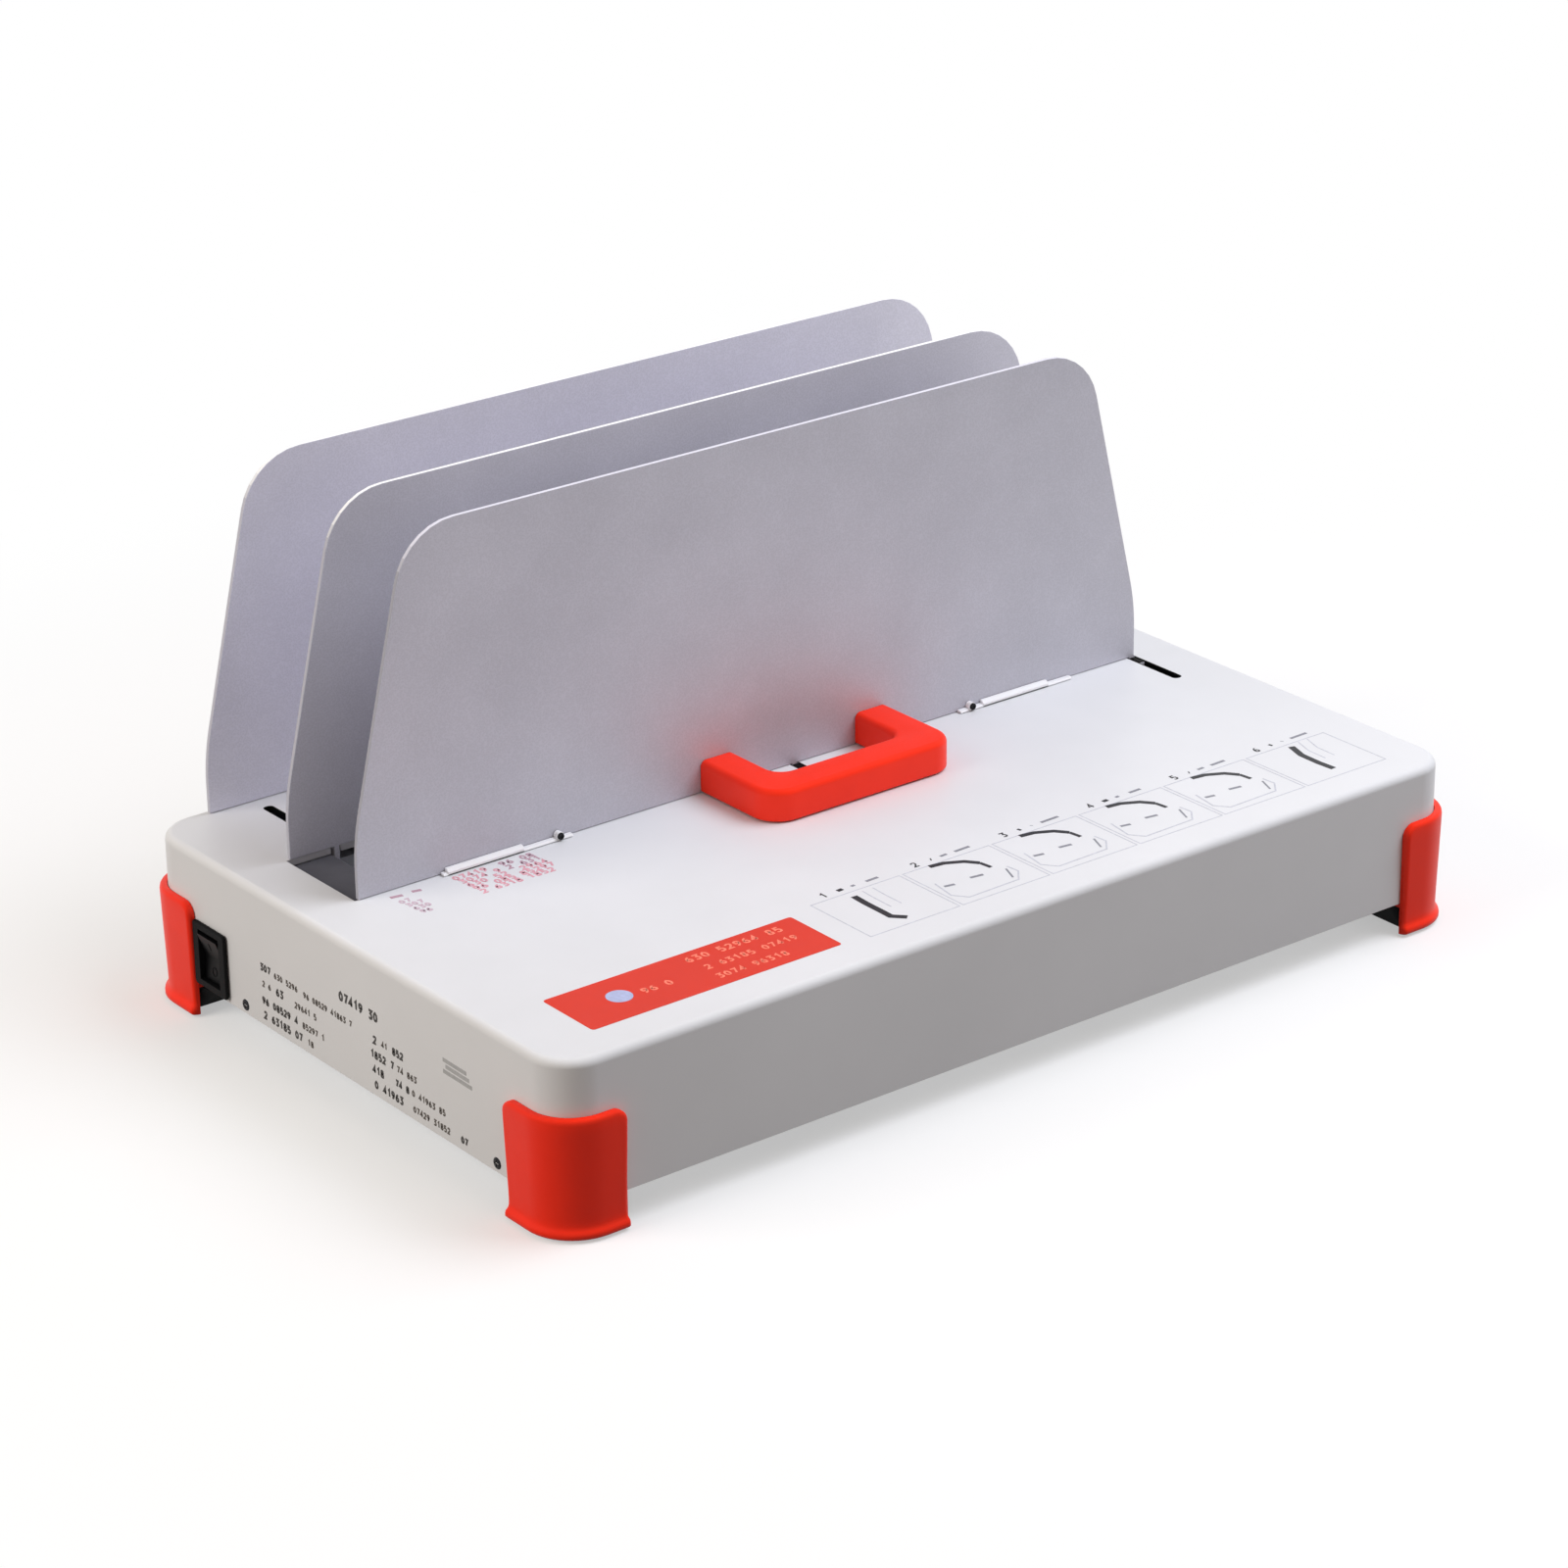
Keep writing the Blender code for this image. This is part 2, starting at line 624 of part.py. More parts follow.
def make_cover():
    """The moulded housing: a shell with a rounded top edge, screw bosses and pads inside, and its openings."""
    outer = bmesh.new()
    outline = rounded_rectangle(HALF_WIDTH, HALF_DEPTH, CORNER_R)
    add_prism(outer, outline, "Z", COVER_LOW_Z, PANEL_Z)
    rim = [edge for edge in outer.edges if all(abs(vert.co.z - PANEL_Z) < GAP for vert in edge.verts)]
    bmesh.ops.bevel(outer, geom=rim, offset=PANEL_EDGE_R, segments=EDGE_STEPS, profile=ROUND_PROFILE_SHARE, affect="EDGES")
    cover = make_object("top_cover", outer, "white_abs")

    hollow = bmesh.new()
    inner = rounded_rectangle(HALF_WIDTH - COVER_WALL, HALF_DEPTH - COVER_WALL, CORNER_R - COVER_WALL)
    add_prism(hollow, inner, "Z", COVER_LOW_Z - OVERRUN, PANEL_LOW_Z)
    cut(cover, hollow, "hollow")

    inside = bmesh.new()
    for x, y in screw_places().values():
        add_cylinder(inside, BOSS_R, PAN_SEAT_Z, PANEL_LOW_Z + FUSE, (x, y, 0), (0, 0, 1))
    pad_front = REAR_PLATE_Y + PLATE_FRONT + GAP
    pad_back = HALF_DEPTH - COVER_WALL + FUSE
    for side in (-1, 1):
        x = side * TAB_X
        low = (x - PAD_HALF, pad_front, TAB_SCREW_Z - PAD_HALF)
        high = (x + PAD_HALF, pad_back, TAB_SCREW_Z + PAD_HALF)
        add_box(inside, low, high)
    fuse(cover, inside, "bosses")

    openings = bmesh.new()
    add_prism(openings, trough_outline(), "Z", PANEL_LOW_Z - OVERRUN, PANEL_Z + OVERRUN)
    slit = PLATE_FRONT + GAP
    for side in (-1, 1):
        half_tab = TAB_WIDTH / 2 + GAP
        low = (side * TAB_X - half_tab, REAR_PLATE_Y - slit, PANEL_LOW_Z - OVERRUN)
        high = (side * TAB_X + half_tab, REAR_PLATE_Y + slit, PANEL_Z + OVERRUN)
        add_box(openings, low, high)
        hole_end = HALF_DEPTH - SMALL_SCREW_END + GAP
        place = (side * TAB_X, 0, TAB_SCREW_Z)
        add_cylinder(openings, SMALL_SCREW_R + GAP, pad_front - FUSE, hole_end, place, (0, 1, 0), SMALL_ROUND_STEPS)
    for x, y in screw_places().values():
        hole_top = PAN_SEAT_Z + BOSS_HOLE_DEPTH
        add_cylinder(openings, SCREW_R + GAP, PAN_SEAT_Z - FUSE, hole_top, (x, y, 0), (0, 0, 1), SMALL_ROUND_STEPS)
    add_box(openings, *switch_body_box(GAP, -HALF_WIDTH - OVERRUN))
    add_box(openings, *inlet_body_box(GAP, HALF_DEPTH + OVERRUN))
    cut(cover, openings, "openings")
    return cover


def make_pan():
    """The sheet floor with an upturned rim, vents, screw holes and the board's posts."""
    tray = bmesh.new()
    add_prism(tray, rounded_rectangle(PAN_HALF_X, PAN_HALF_Y, PAN_R), "Z", PAN_LOW_Z, PAN_LOW_Z + PAN_RIM)
    pan = make_object("base_pan", tray, "zinc_steel")

    hollow = bmesh.new()
    inner = rounded_rectangle(PAN_HALF_X - PAN_T, PAN_HALF_Y - PAN_T, PAN_R - PAN_T)
    add_prism(hollow, inner, "Z", PAN_TOP_Z, PAN_LOW_Z + PAN_RIM + OVERRUN)
    cut(pan, hollow, "hollow")

    posts = bmesh.new()
    for x, y in board_posts():
        add_cylinder(posts, BOARD_POST_R, PAN_TOP_Z - FUSE, BOARD_LOW_Z - GAP, (x, y, 0), (0, 0, 1), SMALL_ROUND_STEPS)
    fuse(pan, posts, "posts")

    holes = bmesh.new()
    for x, y in screw_places().values():
        high = PAN_TOP_Z + OVERRUN
        add_cylinder(holes, SCREW_R + GAP, PAN_LOW_Z - OVERRUN, high, (x, y, 0), (0, 0, 1), SMALL_ROUND_STEPS)
    add_prism_slots(holes)
    spare = GAP + FUSE
    low, high = switch_body_box(spare, -HALF_WIDTH)
    add_box(holes, (low[0], low[1], PAN_TOP_Z + GAP), (high[0], high[1], PAN_LOW_Z + PAN_RIM + OVERRUN))
    cut(pan, holes, "holes")
    return pan


def add_prism_slots(holes):
    """Vents: two fields of slots under the board's side of the machine."""
    for side in (-1, 1):
        for column in range(VENT_COLUMNS - 1):
            for row in range(VENT_ROWS):
                x = side * (VENT_X - column * VENT_PITCH_X)
                y = VENT_Y + (row - 1) * VENT_PITCH_Y
                outline = rounded_rectangle(VENT_LENGTH / 2, VENT_WIDTH / 2, VENT_WIDTH / 2 - GAP, EDGE_STEPS)
                move = Matrix.Translation((x, y, 0))
                add_prism(holes, outline, "Z", PAN_LOW_Z - OVERRUN, PAN_TOP_Z + FUSE, move)


def board_posts():
    reach_x = BOARD_WIDTH / 2 - BOARD_POST_INSET
    reach_y = BOARD_DEPTH / 2 - BOARD_POST_INSET
    return [(BOARD_X + a * reach_x, BOARD_Y + b * reach_y) for a in (-1, 1) for b in (-1, 1)]


def wrap_station(reach):
    """A place on the housing's corner outline, in the first quadrant, and the outward direction there."""
    flat = GUARD_FRONT_WRAP - CORNER_R
    arc = CORNER_R * math.pi / 2
    centre = (HALF_WIDTH - CORNER_R, HALF_DEPTH - CORNER_R)
    if reach < flat:
        return (HALF_WIDTH - GUARD_FRONT_WRAP + reach, HALF_DEPTH), (0, 1)
    if reach > flat + arc:
        return (HALF_WIDTH, HALF_DEPTH - CORNER_R - (reach - flat - arc)), (1, 0)
    angle = math.pi / 2 - (reach - flat) / CORNER_R
    out = (math.cos(angle), math.sin(angle))
    return (centre[0] + CORNER_R * out[0], centre[1] + CORNER_R * out[1]), out


def guard_stations():
    """Distances along the guard: closer where its top corners are rounded and where it turns the corner."""
    flat = GUARD_FRONT_WRAP - CORNER_R
    arc = CORNER_R * math.pi / 2
    length = flat + arc + GUARD_SIDE_WRAP - CORNER_R
    rise = [GUARD_TOP_R * (1 - math.cos(math.pi / 2 * step / EDGE_STEPS)) for step in range(EDGE_STEPS + 1)]
    turn = [flat + arc * step / CORNER_STEPS for step in range(CORNER_STEPS + 1)]
    return sorted(rise + turn + [length - reach for reach in rise]), length


def guard_drop(reach, length):
    """How far the guard's top edge falls away at this place."""
    edge = min(reach, length - reach)
    if edge >= GUARD_TOP_R:
        return 0
    inward = GUARD_TOP_R - edge
    return GUARD_TOP_R - math.sqrt(GUARD_TOP_R**2 - inward**2)


def make_guard(name, side_x, side_y):
    """A corner guard: a waisted strip with a lip at its foot, swept round the corner, and a ledge under the pan."""
    shape = bmesh.new()
    stations, length = guard_stations()
    rings = []
    for reach in stations:
        place, out = wrap_station(reach)
        top = GUARD_TOP_Z - guard_drop(reach, length)
        profile = [
            (GAP, GUARD_LOW_Z),
            (GUARD_LIP, GUARD_LOW_Z),
            (GUARD_LIP, GUARD_LOW_Z + GUARD_LIP_H),
            (GUARD_WAIST, GUARD_LOW_Z + GUARD_LIP_H + GUARD_LIP_SLOPE),
            (GUARD_WALL, top - 2 * GUARD_EDGE),
            (GUARD_WALL - GUARD_EDGE, top),
            (GAP, top),
        ]
        rings.append([
            shape.verts.new((place[0] + offset * out[0], place[1] + offset * out[1], z)) for offset, z in profile
        ])
    for near, far in zip(rings, rings[1:]):
        for index in range(len(near)):
            following = (index + 1) % len(near)
            shape.faces.new((near[index], far[index], far[following], near[following]))
    shape.faces.new(rings[0])
    shape.faces.new(list(reversed(rings[-1])))
    mirror = Matrix.Diagonal((side_x, side_y, 1, 1))
    strip = bmesh.new()
    shape.transform(mirror)
    add_shape(strip, shape)
    guard = make_object(f"corner_guard_{name}", strip, "orange_abs")

    corner = []
    for reach in (0, GUARD_FRONT_WRAP - CORNER_R):
        place, out = wrap_station(reach)
        corner.append((place[0] + (GAP + FUSE) * out[0], place[1] + (GAP + FUSE) * out[1]))
    for step in range(1, CORNER_STEPS + 1):
        place, out = wrap_station(GUARD_FRONT_WRAP - CORNER_R + CORNER_R * math.pi / 2 * step / CORNER_STEPS)
        corner.append((place[0] + (GAP + FUSE) * out[0], place[1] + (GAP + FUSE) * out[1]))
    corner.append((HALF_WIDTH + GAP + FUSE, HALF_DEPTH - GUARD_SIDE_WRAP))
    corner.append((HALF_WIDTH - GUARD_FRONT_WRAP, HALF_DEPTH - GUARD_SIDE_WRAP))
    ledge = bmesh.new()
    ledge_top = COVER_LOW_Z - GAP
    outline = [(side_x * x, side_y * y) for x, y in corner]
    add_prism(ledge, outline, "Z", ledge_top - LEDGE_T, ledge_top)
    fuse(guard, ledge, "ledge")

    hole = bmesh.new()
    x, y = screw_places()[name]
    add_cylinder(hole, SCREW_R + GAP, 0, PAN_LOW_Z, (x, y, 0), (0, 0, 1), SMALL_ROUND_STEPS)
    cut(guard, hole, "screw_hole")
    return guard


def make_foot(name, side_x, side_y):
    """A rubber foot: upright where the guard holds it, drawn in towards the floor on its inner sides."""

    def outline(inset, side_inset, inner_r):
        inner_x = HALF_WIDTH - inset
        inner_y = HALF_DEPTH - inset
        outer_x = HALF_WIDTH - side_inset
        outer_y = HALF_DEPTH - side_inset
        corner_r = min(CORNER_R - side_inset, outer_x - inner_x - inner_r - GAP)
        corners = [
            (inner_x, inner_y, inner_r),
            (outer_x, inner_y, inner_r),
            (outer_x, outer_y, corner_r),
            (inner_x, outer_y, inner_r),
        ]
        return rounded(corners, CORNER_STEPS - EDGE_STEPS)

    top_z = COVER_LOW_Z - GAP - LEDGE_T - GAP
    shape = bmesh.new()
    low = [shape.verts.new((x, y, 0)) for x, y in outline(FOOT_LOW_INSET, FOOT_LOW_SIDE_INSET, FOOT_LOW_INNER_R)]
    high = [shape.verts.new((x, y, top_z)) for x, y in outline(FOOT_TOP_INSET, FOOT_SIDE_INSET, FOOT_INNER_R)]
    shape.faces.new(low)
    shape.faces.new(high)
    for index in range(len(low)):
        following = (index + 1) % len(low)
        shape.faces.new((low[index], low[following], high[following], high[index]))
    body = bmesh.new()
    shape.transform(Matrix.Diagonal((side_x, side_y, 1, 1)))
    add_shape(body, shape)
    foot = make_object(f"rubber_foot_{name}", body, "black_rubber")

    recess = bmesh.new()
    x, y = screw_places()[name]
    seat = SCREW_HEAD_Z + SCREW_HEAD_T + GAP
    head_r = SCREW_HEAD_R + GAP
    hole_r = SCREW_R + GAP
    high_z = top_z + OVERRUN
    profile = [(0, -OVERRUN), (head_r, -OVERRUN), (head_r, seat), (hole_r, seat), (hole_r, high_z), (0, high_z)]
    add_turned(recess, profile, (x, y, 0), (0, 0, 1), SMALL_ROUND_STEPS)
    cut(foot, recess, "recess")
    return foot


def make_screw(name, place, direction, shank_r, shank_end, head_r, head_t, finish="zinc_steel"):
    """A pan-head screw: its head starts at the place, and its shank runs to shank_end along the direction."""
    crown = head_t / 3
    profile = [
        (0, 0),
        (head_r - crown, 0),
        (head_r, crown),
        (head_r, head_t),
        (shank_r, head_t),
        (shank_r, shank_end - shank_r),
        (shank_r / 2, shank_end),
        (0, shank_end),
    ]
    shape = bmesh.new()
    add_turned(shape, profile, place, direction, SMALL_ROUND_STEPS)
    return make_object(name, shape, finish)


def make_foot_screw(name):
    x, y = screw_places()[name]
    length = SCREW_TIP_Z - SCREW_HEAD_Z
    place = (x, y, SCREW_HEAD_Z)
    return make_screw(f"foot_screw_{name}", place, (0, 0, 1), SCREW_R, length, SCREW_HEAD_R, SCREW_HEAD_T)


def plate_outline(tabs, foot_z=PLATE_FOOT_Z):
    """A plate's front view: upright at its foot, drawn in above, with rounded top corners.

    Each tab is (x, half width, low z): it hangs from the foot, between the left corner and the right one.
    """
    foot = [(-FOOT_HALF, foot_z, 0)]
    for x, half, low in tabs:
        left = x - half
        right = x + half
        if left > GAP - FOOT_HALF:
            foot.append((left, foot_z, 0))
        else:
            foot.pop()
        foot += [(left, low, 0), (right, low, 0)]
        if right < FOOT_HALF - GAP:
            foot.append((right, foot_z, 0))
    if not tabs or tabs[-1][0] + tabs[-1][1] < FOOT_HALF - GAP:
        foot.append((FOOT_HALF, foot_z, 0))
    sides = [
        (FOOT_HALF, PANEL_Z + FOOT_RISE, PLATE_SHOULDER_R),
        (TOP_HALF, PLATE_TOP_Z, PLATE_CORNER_R),
        (-TOP_HALF, PLATE_TOP_Z, PLATE_CORNER_R),
        (-FOOT_HALF, PANEL_Z + FOOT_RISE, PLATE_SHOULDER_R),
    ]
    return rounded(foot + sides)


def make_sliding_plate(name, plate_y, out, ears, cuts=None):
    """A clamp plate. Each ear is bent square to the plate below the panel and reaches outward, away from the trough."""
    sheet = bmesh.new()
    tabs = [(x, EAR_T / 2, EAR_LOW_Z) for x in sorted(ears)]
    add_prism(sheet, plate_outline(tabs), "Y", plate_y - PLATE_FRONT, plate_y + PLATE_FRONT)
    plate = make_object(name, sheet, "silver_sheet")
    bent = bmesh.new()
    for x in ears:
        near, far = sorted((plate_y, plate_y + out * EAR_REACH))
        add_box(bent, (x - EAR_T / 2, near, EAR_LOW_Z), (x + EAR_T / 2, far, PANEL_Z - GAP))
    fuse(plate, bent, "ears")
    if cuts:
        cut(plate, cuts, "holes")
    return plate


def front_plate_holes():
    """Holes for the handle's and the glides' screws."""
    holes = bmesh.new()
    start = FRONT_PLATE_Y - PLATE_T
    end = FRONT_PLATE_Y + PLATE_T
    for side in (-1, 1):
        place = (handle_leg_x(side), 0, handle_screw_z())
        add_cylinder(holes, SMALL_SCREW_R + GAP, start, end, place, (0, 1, 0), SMALL_ROUND_STEPS)
        place = (side * GLIDE_SCREW_X, 0, glide_screw_z())
        add_cylinder(holes, GLIDE_SCREW_R + GAP, start, end, place, (0, 1, 0), SMALL_ROUND_STEPS)
    return holes


def make_rear_plate():
    """The fixed back rest: like the others, but with two tabs through the panel, screwed to the housing's rear wall."""
    sheet = bmesh.new()
    tabs = [(side * TAB_X, TAB_WIDTH / 2, PANEL_Z - TAB_DROP) for side in (-1, 1)]
    add_prism(sheet, plate_outline(tabs), "Y", REAR_PLATE_Y - PLATE_FRONT, REAR_PLATE_Y + PLATE_FRONT)
    plate = make_object("rear_plate", sheet, "silver_sheet")
    holes = bmesh.new()
    for side in (-1, 1):
        place = (side * TAB_X, 0, TAB_SCREW_Z)
        start, end = REAR_PLATE_Y - PLATE_T, REAR_PLATE_Y + PLATE_T
        add_cylinder(holes, SMALL_SCREW_R + GAP, start, end, place, (0, 1, 0), SMALL_ROUND_STEPS)
    cut(plate, holes, "holes")
    return plate


def make_rear_plate_screw(name, side):
    start = REAR_PLATE_Y - PLATE_FRONT - GAP - SMALL_HEAD_T
    end = HALF_DEPTH - SMALL_SCREW_END
    place = (side * TAB_X, start, TAB_SCREW_Z)
    title = f"rear_plate_screw_{name}"
    return make_screw(title, place, (0, 1, 0), SMALL_SCREW_R, end - start, SMALL_HEAD_R, SMALL_HEAD_T)


def handle_leg_x(side):
    return HANDLE_X + side * (HANDLE_WIDTH - HANDLE_LEG) / 2


def handle_screw_z():
    return HANDLE_LOW_Z + HANDLE_H / 2


def make_handle():
    """The U-shaped finger pull: two legs against the front plate and a round-cornered bar between them."""
    outer = HANDLE_WIDTH / 2
    inner = outer - HANDLE_LEG
    back = FRONT_FACE_Y - GAP
    front = back - HANDLE_REACH
    bar_back = front + HANDLE_BAR
    corners = [
        (HANDLE_X - outer, front, HANDLE_OUTER_R),
        (HANDLE_X + outer, front, HANDLE_OUTER_R),
        (HANDLE_X + outer, back, 0),
        (HANDLE_X + inner, back, 0),
        (HANDLE_X + inner, bar_back, HANDLE_INNER_R),
        (HANDLE_X - inner, bar_back, HANDLE_INNER_R),
        (HANDLE_X - inner, back, 0),
        (HANDLE_X - outer, back, 0),
    ]
    shape = bmesh.new()
    add_prism(shape, rounded(corners), "Z", HANDLE_LOW_Z, HANDLE_LOW_Z + HANDLE_H)
    top = HANDLE_LOW_Z + HANDLE_H
    rim = [edge for edge in shape.edges if all(abs(vert.co.z - top) < GAP for vert in edge.verts)]
    rim = [edge for edge in rim if not all(abs(vert.co.y - back) < GAP for vert in edge.verts)]
    bmesh.ops.bevel(shape, geom=rim, offset=HANDLE_EDGE, segments=EDGE_STEPS, profile=ROUND_PROFILE_SHARE, affect="EDGES")
    handle = make_object("clamp_handle", shape, "orange_abs")

    holes = bmesh.new()
    for side in (-1, 1):
        place = (handle_leg_x(side), 0, handle_screw_z())
        start = back - HANDLE_SCREW_LENGTH - GAP
        add_cylinder(holes, SMALL_SCREW_R + GAP, start, back + FUSE, place, (0, 1, 0), SMALL_ROUND_STEPS)
    cut(handle, holes, "screw_holes")
    return handle


def make_handle_screw(name, side):
    """A screw through the plate from the trough's side into the handle's leg."""
    start = FRONT_PLATE_Y + PLATE_FRONT + GAP + SMALL_HEAD_T / 2
    end = FRONT_FACE_Y - GAP - HANDLE_SCREW_LENGTH
    place = (handle_leg_x(side), start, handle_screw_z())
    title = f"handle_screw_{name}"
    return make_screw(title, place, (0, -1, 0), SMALL_SCREW_R, start - end, SMALL_HEAD_R, SMALL_HEAD_T / 2)


def glide_screw_z():
    return PLATE_FOOT_Z + GLIDE_H / 2


def make_glide(name, side):
    """A low nylon strip at the plate's foot, which bears on the panel, with its upper front edge rounded."""
    back = FRONT_FACE_Y - GAP
    front = back - GLIDE_DEPTH
    top = PLATE_FOOT_Z + GLIDE_H
    outline = rounded([(front, PLATE_FOOT_Z, 0), (back, PLATE_FOOT_Z, 0), (back, top, 0), (front, top, GLIDE_EDGE)])
    low, high = sorted((side * GLIDE_INNER_X, side * GLIDE_OUTER_X))
    shape = bmesh.new()
    add_prism(shape, outline, "X", low, high)
    glide = make_object(f"plate_glide_{name}", shape, "white_nylon")
    hole = bmesh.new()
    place = (side * GLIDE_SCREW_X, 0, glide_screw_z())
    start, end = front - OVERRUN, back + OVERRUN
    add_cylinder(hole, GLIDE_SCREW_R + GAP, start, end, place, (0, 1, 0), SMALL_ROUND_STEPS)
    cut(glide, hole, "screw_hole")
    return glide


def make_glide_screw(name, side):
    start = FRONT_FACE_Y - GAP - GLIDE_DEPTH - GAP - GLIDE_HEAD_T
    end = FRONT_PLATE_Y + PLATE_FRONT
    place = (side * GLIDE_SCREW_X, start, glide_screw_z())
    title = f"glide_screw_{name}"
    sizes = (GLIDE_SCREW_R, end - start, GLIDE_HEAD_R, GLIDE_HEAD_T)
    return make_screw(title, place, (0, 1, 0), *sizes, finish="dark_steel")


def make_carriage(name, plate_y, out, ears, right_x):
    """A bar along the trough with a taller block round each rod, bores for the bushes and notches for the ears."""
    near, far = sorted((plate_y + out * BAR_INSET, plate_y + out * BAR_OUTER))
    outline = [
        (-BAR_END_X, BLOCK_LOW_Z, BAR_EDGE),
        (-BLOCK_INNER_X, BLOCK_LOW_Z, BAR_EDGE),
        (-BLOCK_INNER_X, BAR_LOW_Z, 0),
        (BLOCK_INNER_X, BAR_LOW_Z, 0),
        (BLOCK_INNER_X, BLOCK_LOW_Z, BAR_EDGE),
        (right_x, BLOCK_LOW_Z, BAR_EDGE),
        (right_x, BLOCK_HIGH_Z, BAR_EDGE),
        (BLOCK_INNER_X, BLOCK_HIGH_Z, BAR_EDGE),
        (BLOCK_INNER_X, BAR_HIGH_Z, 0),
        (-BLOCK_INNER_X, BAR_HIGH_Z, 0),
        (-BLOCK_INNER_X, BLOCK_HIGH_Z, BAR_EDGE),
        (-BAR_END_X, BLOCK_HIGH_Z, BAR_EDGE),
    ]
    shape = bmesh.new()
    add_prism(shape, rounded(outline, EDGE_STEPS - 1), "Y", near, far)
    bar = make_object(name, shape, "aluminium")
    holes = bmesh.new()
    for side in (-1, 1):
        place = (side * ROD_X, 0, ROD_Z)
        add_cylinder(holes, BUSH_R + GAP, near - OVERRUN, far + OVERRUN, place, (0, 1, 0))
    for x in ears:
        inner = plate_y
        end = plate_y + out * (EAR_REACH + GAP)
        low_y, high_y = sorted((inner, end))
        half = EAR_T / 2 + GAP
        add_box(holes, (x - half, low_y, BLOCK_LOW_Z - OVERRUN), (x + half, high_y, BLOCK_HIGH_Z + OVERRUN))
    cut(bar, holes, "holes")
    return bar


def make_bush(name, plate_y, out, side):
    """A flanged acetal bush in the carriage's bore, its flange on the outer face."""
    length = BAR_DEPTH
    start = plate_y + out * BAR_INSET
    bore = ROD_R + GAP
    flange_low = length + GAP
    flange_high = flange_low + BUSH_FLANGE_T
    profile = [
        (bore, 0),
        (BUSH_R, 0),
        (BUSH_R, flange_low),
        (BUSH_FLANGE_R, flange_low),
        (BUSH_FLANGE_R, flange_high),
        (bore, flange_high),
    ]
    shape = bmesh.new()
    add_turned(shape, profile, (side * ROD_X, start, ROD_Z), (0, out, 0), ROUND_STEPS)
    return make_object(name, shape, "acetal")


def bracket_face(end):
    """The inner face of a rod bracket: clear of the carriage and its bush at the end of the outward travel."""
    reach = BAR_OUTER + GAP + BUSH_FLANGE_T + TRAVEL + BRACKET_SPARE
    return MIDDLE_PLATE_Y + reach if end > 0 else FRONT_PLATE_Y - reach


def make_rod(name, side):
    shape = bmesh.new()
    start = bracket_face(-1) - ROD_SEAT
    end = bracket_face(1) + ROD_SEAT
    chamfer = ROD_R / 6
    profile = [(0, 0), (ROD_R - chamfer, 0), (ROD_R, chamfer), (ROD_R, end - start - chamfer)]
    profile += [(ROD_R - chamfer, end - start), (0, end - start)]
    add_turned(shape, profile, (side * ROD_X, start, ROD_Z), (0, 1, 0), ROUND_STEPS)
    return make_object(f"guide_rod_{name}", shape, "ground_steel")


def make_bracket(name, side, end):
    """A moulded rod bracket: an upright with a gusset on its foot, a blind seat for the rod and a staked stud."""
    face = bracket_face(end)
    back = face + end * BRACKET_T
    foot_end = face + end * BRACKET_FOOT
    top = ROD_Z + BRACKET_TOP
    foot_top = PAN_SEAT_Z + BRACKET_FOOT_T
    outline = [
        (face, PAN_SEAT_Z),
        (foot_end, PAN_SEAT_Z),
        (foot_end, foot_top),
        (back + end * GAP, foot_top + BRACKET_GUSSET),
        (back, foot_top + 2 * BRACKET_GUSSET),
        (back, top),
        (face, top),
    ]
    low_x = side * ROD_X - BRACKET_WIDTH / 2
    shape = bmesh.new()
    add_prism(shape, outline, "X", low_x, low_x + BRACKET_WIDTH)
    bracket = make_object(f"rod_bracket_{name}", shape, "black_plastic")
    seat = bmesh.new()
    place = (side * ROD_X, face - end * OVERRUN, ROD_Z)
    add_cylinder(seat, ROD_R + GAP, 0, OVERRUN + ROD_SEAT + GAP, place, (0, end, 0))
    cut(bracket, seat, "rod_seat")
    return bracket


def involute(radius, base_r):
    """The angle, from its start on the base circle, of the involute's point at this radius."""
    roll = math.sqrt(max((radius / base_r) ** 2 - 1, 0))
    return roll - math.atan(roll)


def pinion_outline():
    """Involute teeth with a root circle, with a tooth space on the X axis."""
    base_r = PITCH_R * math.cos(PRESSURE_ANGLE)
    half_at_pitch = TOOTH_THICKNESS / (2 * PITCH_R)
    at_pitch = involute(PITCH_R, base_r)
    flank = []
    for step in range(FLANK_POINTS + 1):
        radius = base_r + (TIP_R - base_r) * step / FLANK_POINTS
        flank.append((radius, half_at_pitch + at_pitch - involute(radius, base_r)))
    root = (ROOT_R, flank[0][1])
    points = []
    for tooth in range(PINION_TEETH):
        middle = math.tau * (tooth + MID_STEP_SHARE) / PINION_TEETH
        rising = [(radius, middle - angle) for radius, angle in [root] + flank]
        falling = [(radius, middle + angle) for radius, angle in reversed([root] + flank)]
        points += [(radius * math.cos(a), radius * math.sin(a)) for radius, a in rising + falling]
    return points


def make_pinion():
    """The pinion with its hub, turning on the post. Its origin is on its axis."""
    shape = bmesh.new()
    add_prism(shape, pinion_outline(), "Z", GEAR_LOW_Z, GEAR_TOP_Z)
    pinion = make_object("centring_pinion", shape, "acetal")
    hub = bmesh.new()
    add_cylinder(hub, HUB_R, GEAR_LOW_Z + FUSE, GEAR_TOP_Z + HUB_RISE, (0, 0, 0), (0, 0, 1))
    fuse(pinion, hub, "hub")
    bore = bmesh.new()
    high = GEAR_TOP_Z + HUB_RISE + OVERRUN
    add_cylinder(bore, POST_R + GAP, GEAR_LOW_Z - OVERRUN, high, (0, 0, 0), (0, 0, 1))
    cut(pinion, bore, "bore")
    for obj in bpy.data.objects:
        if obj.name.startswith("centring_pinion"):
            obj.location = (PINION_X, TROUGH_Y, 0)
    return pinion


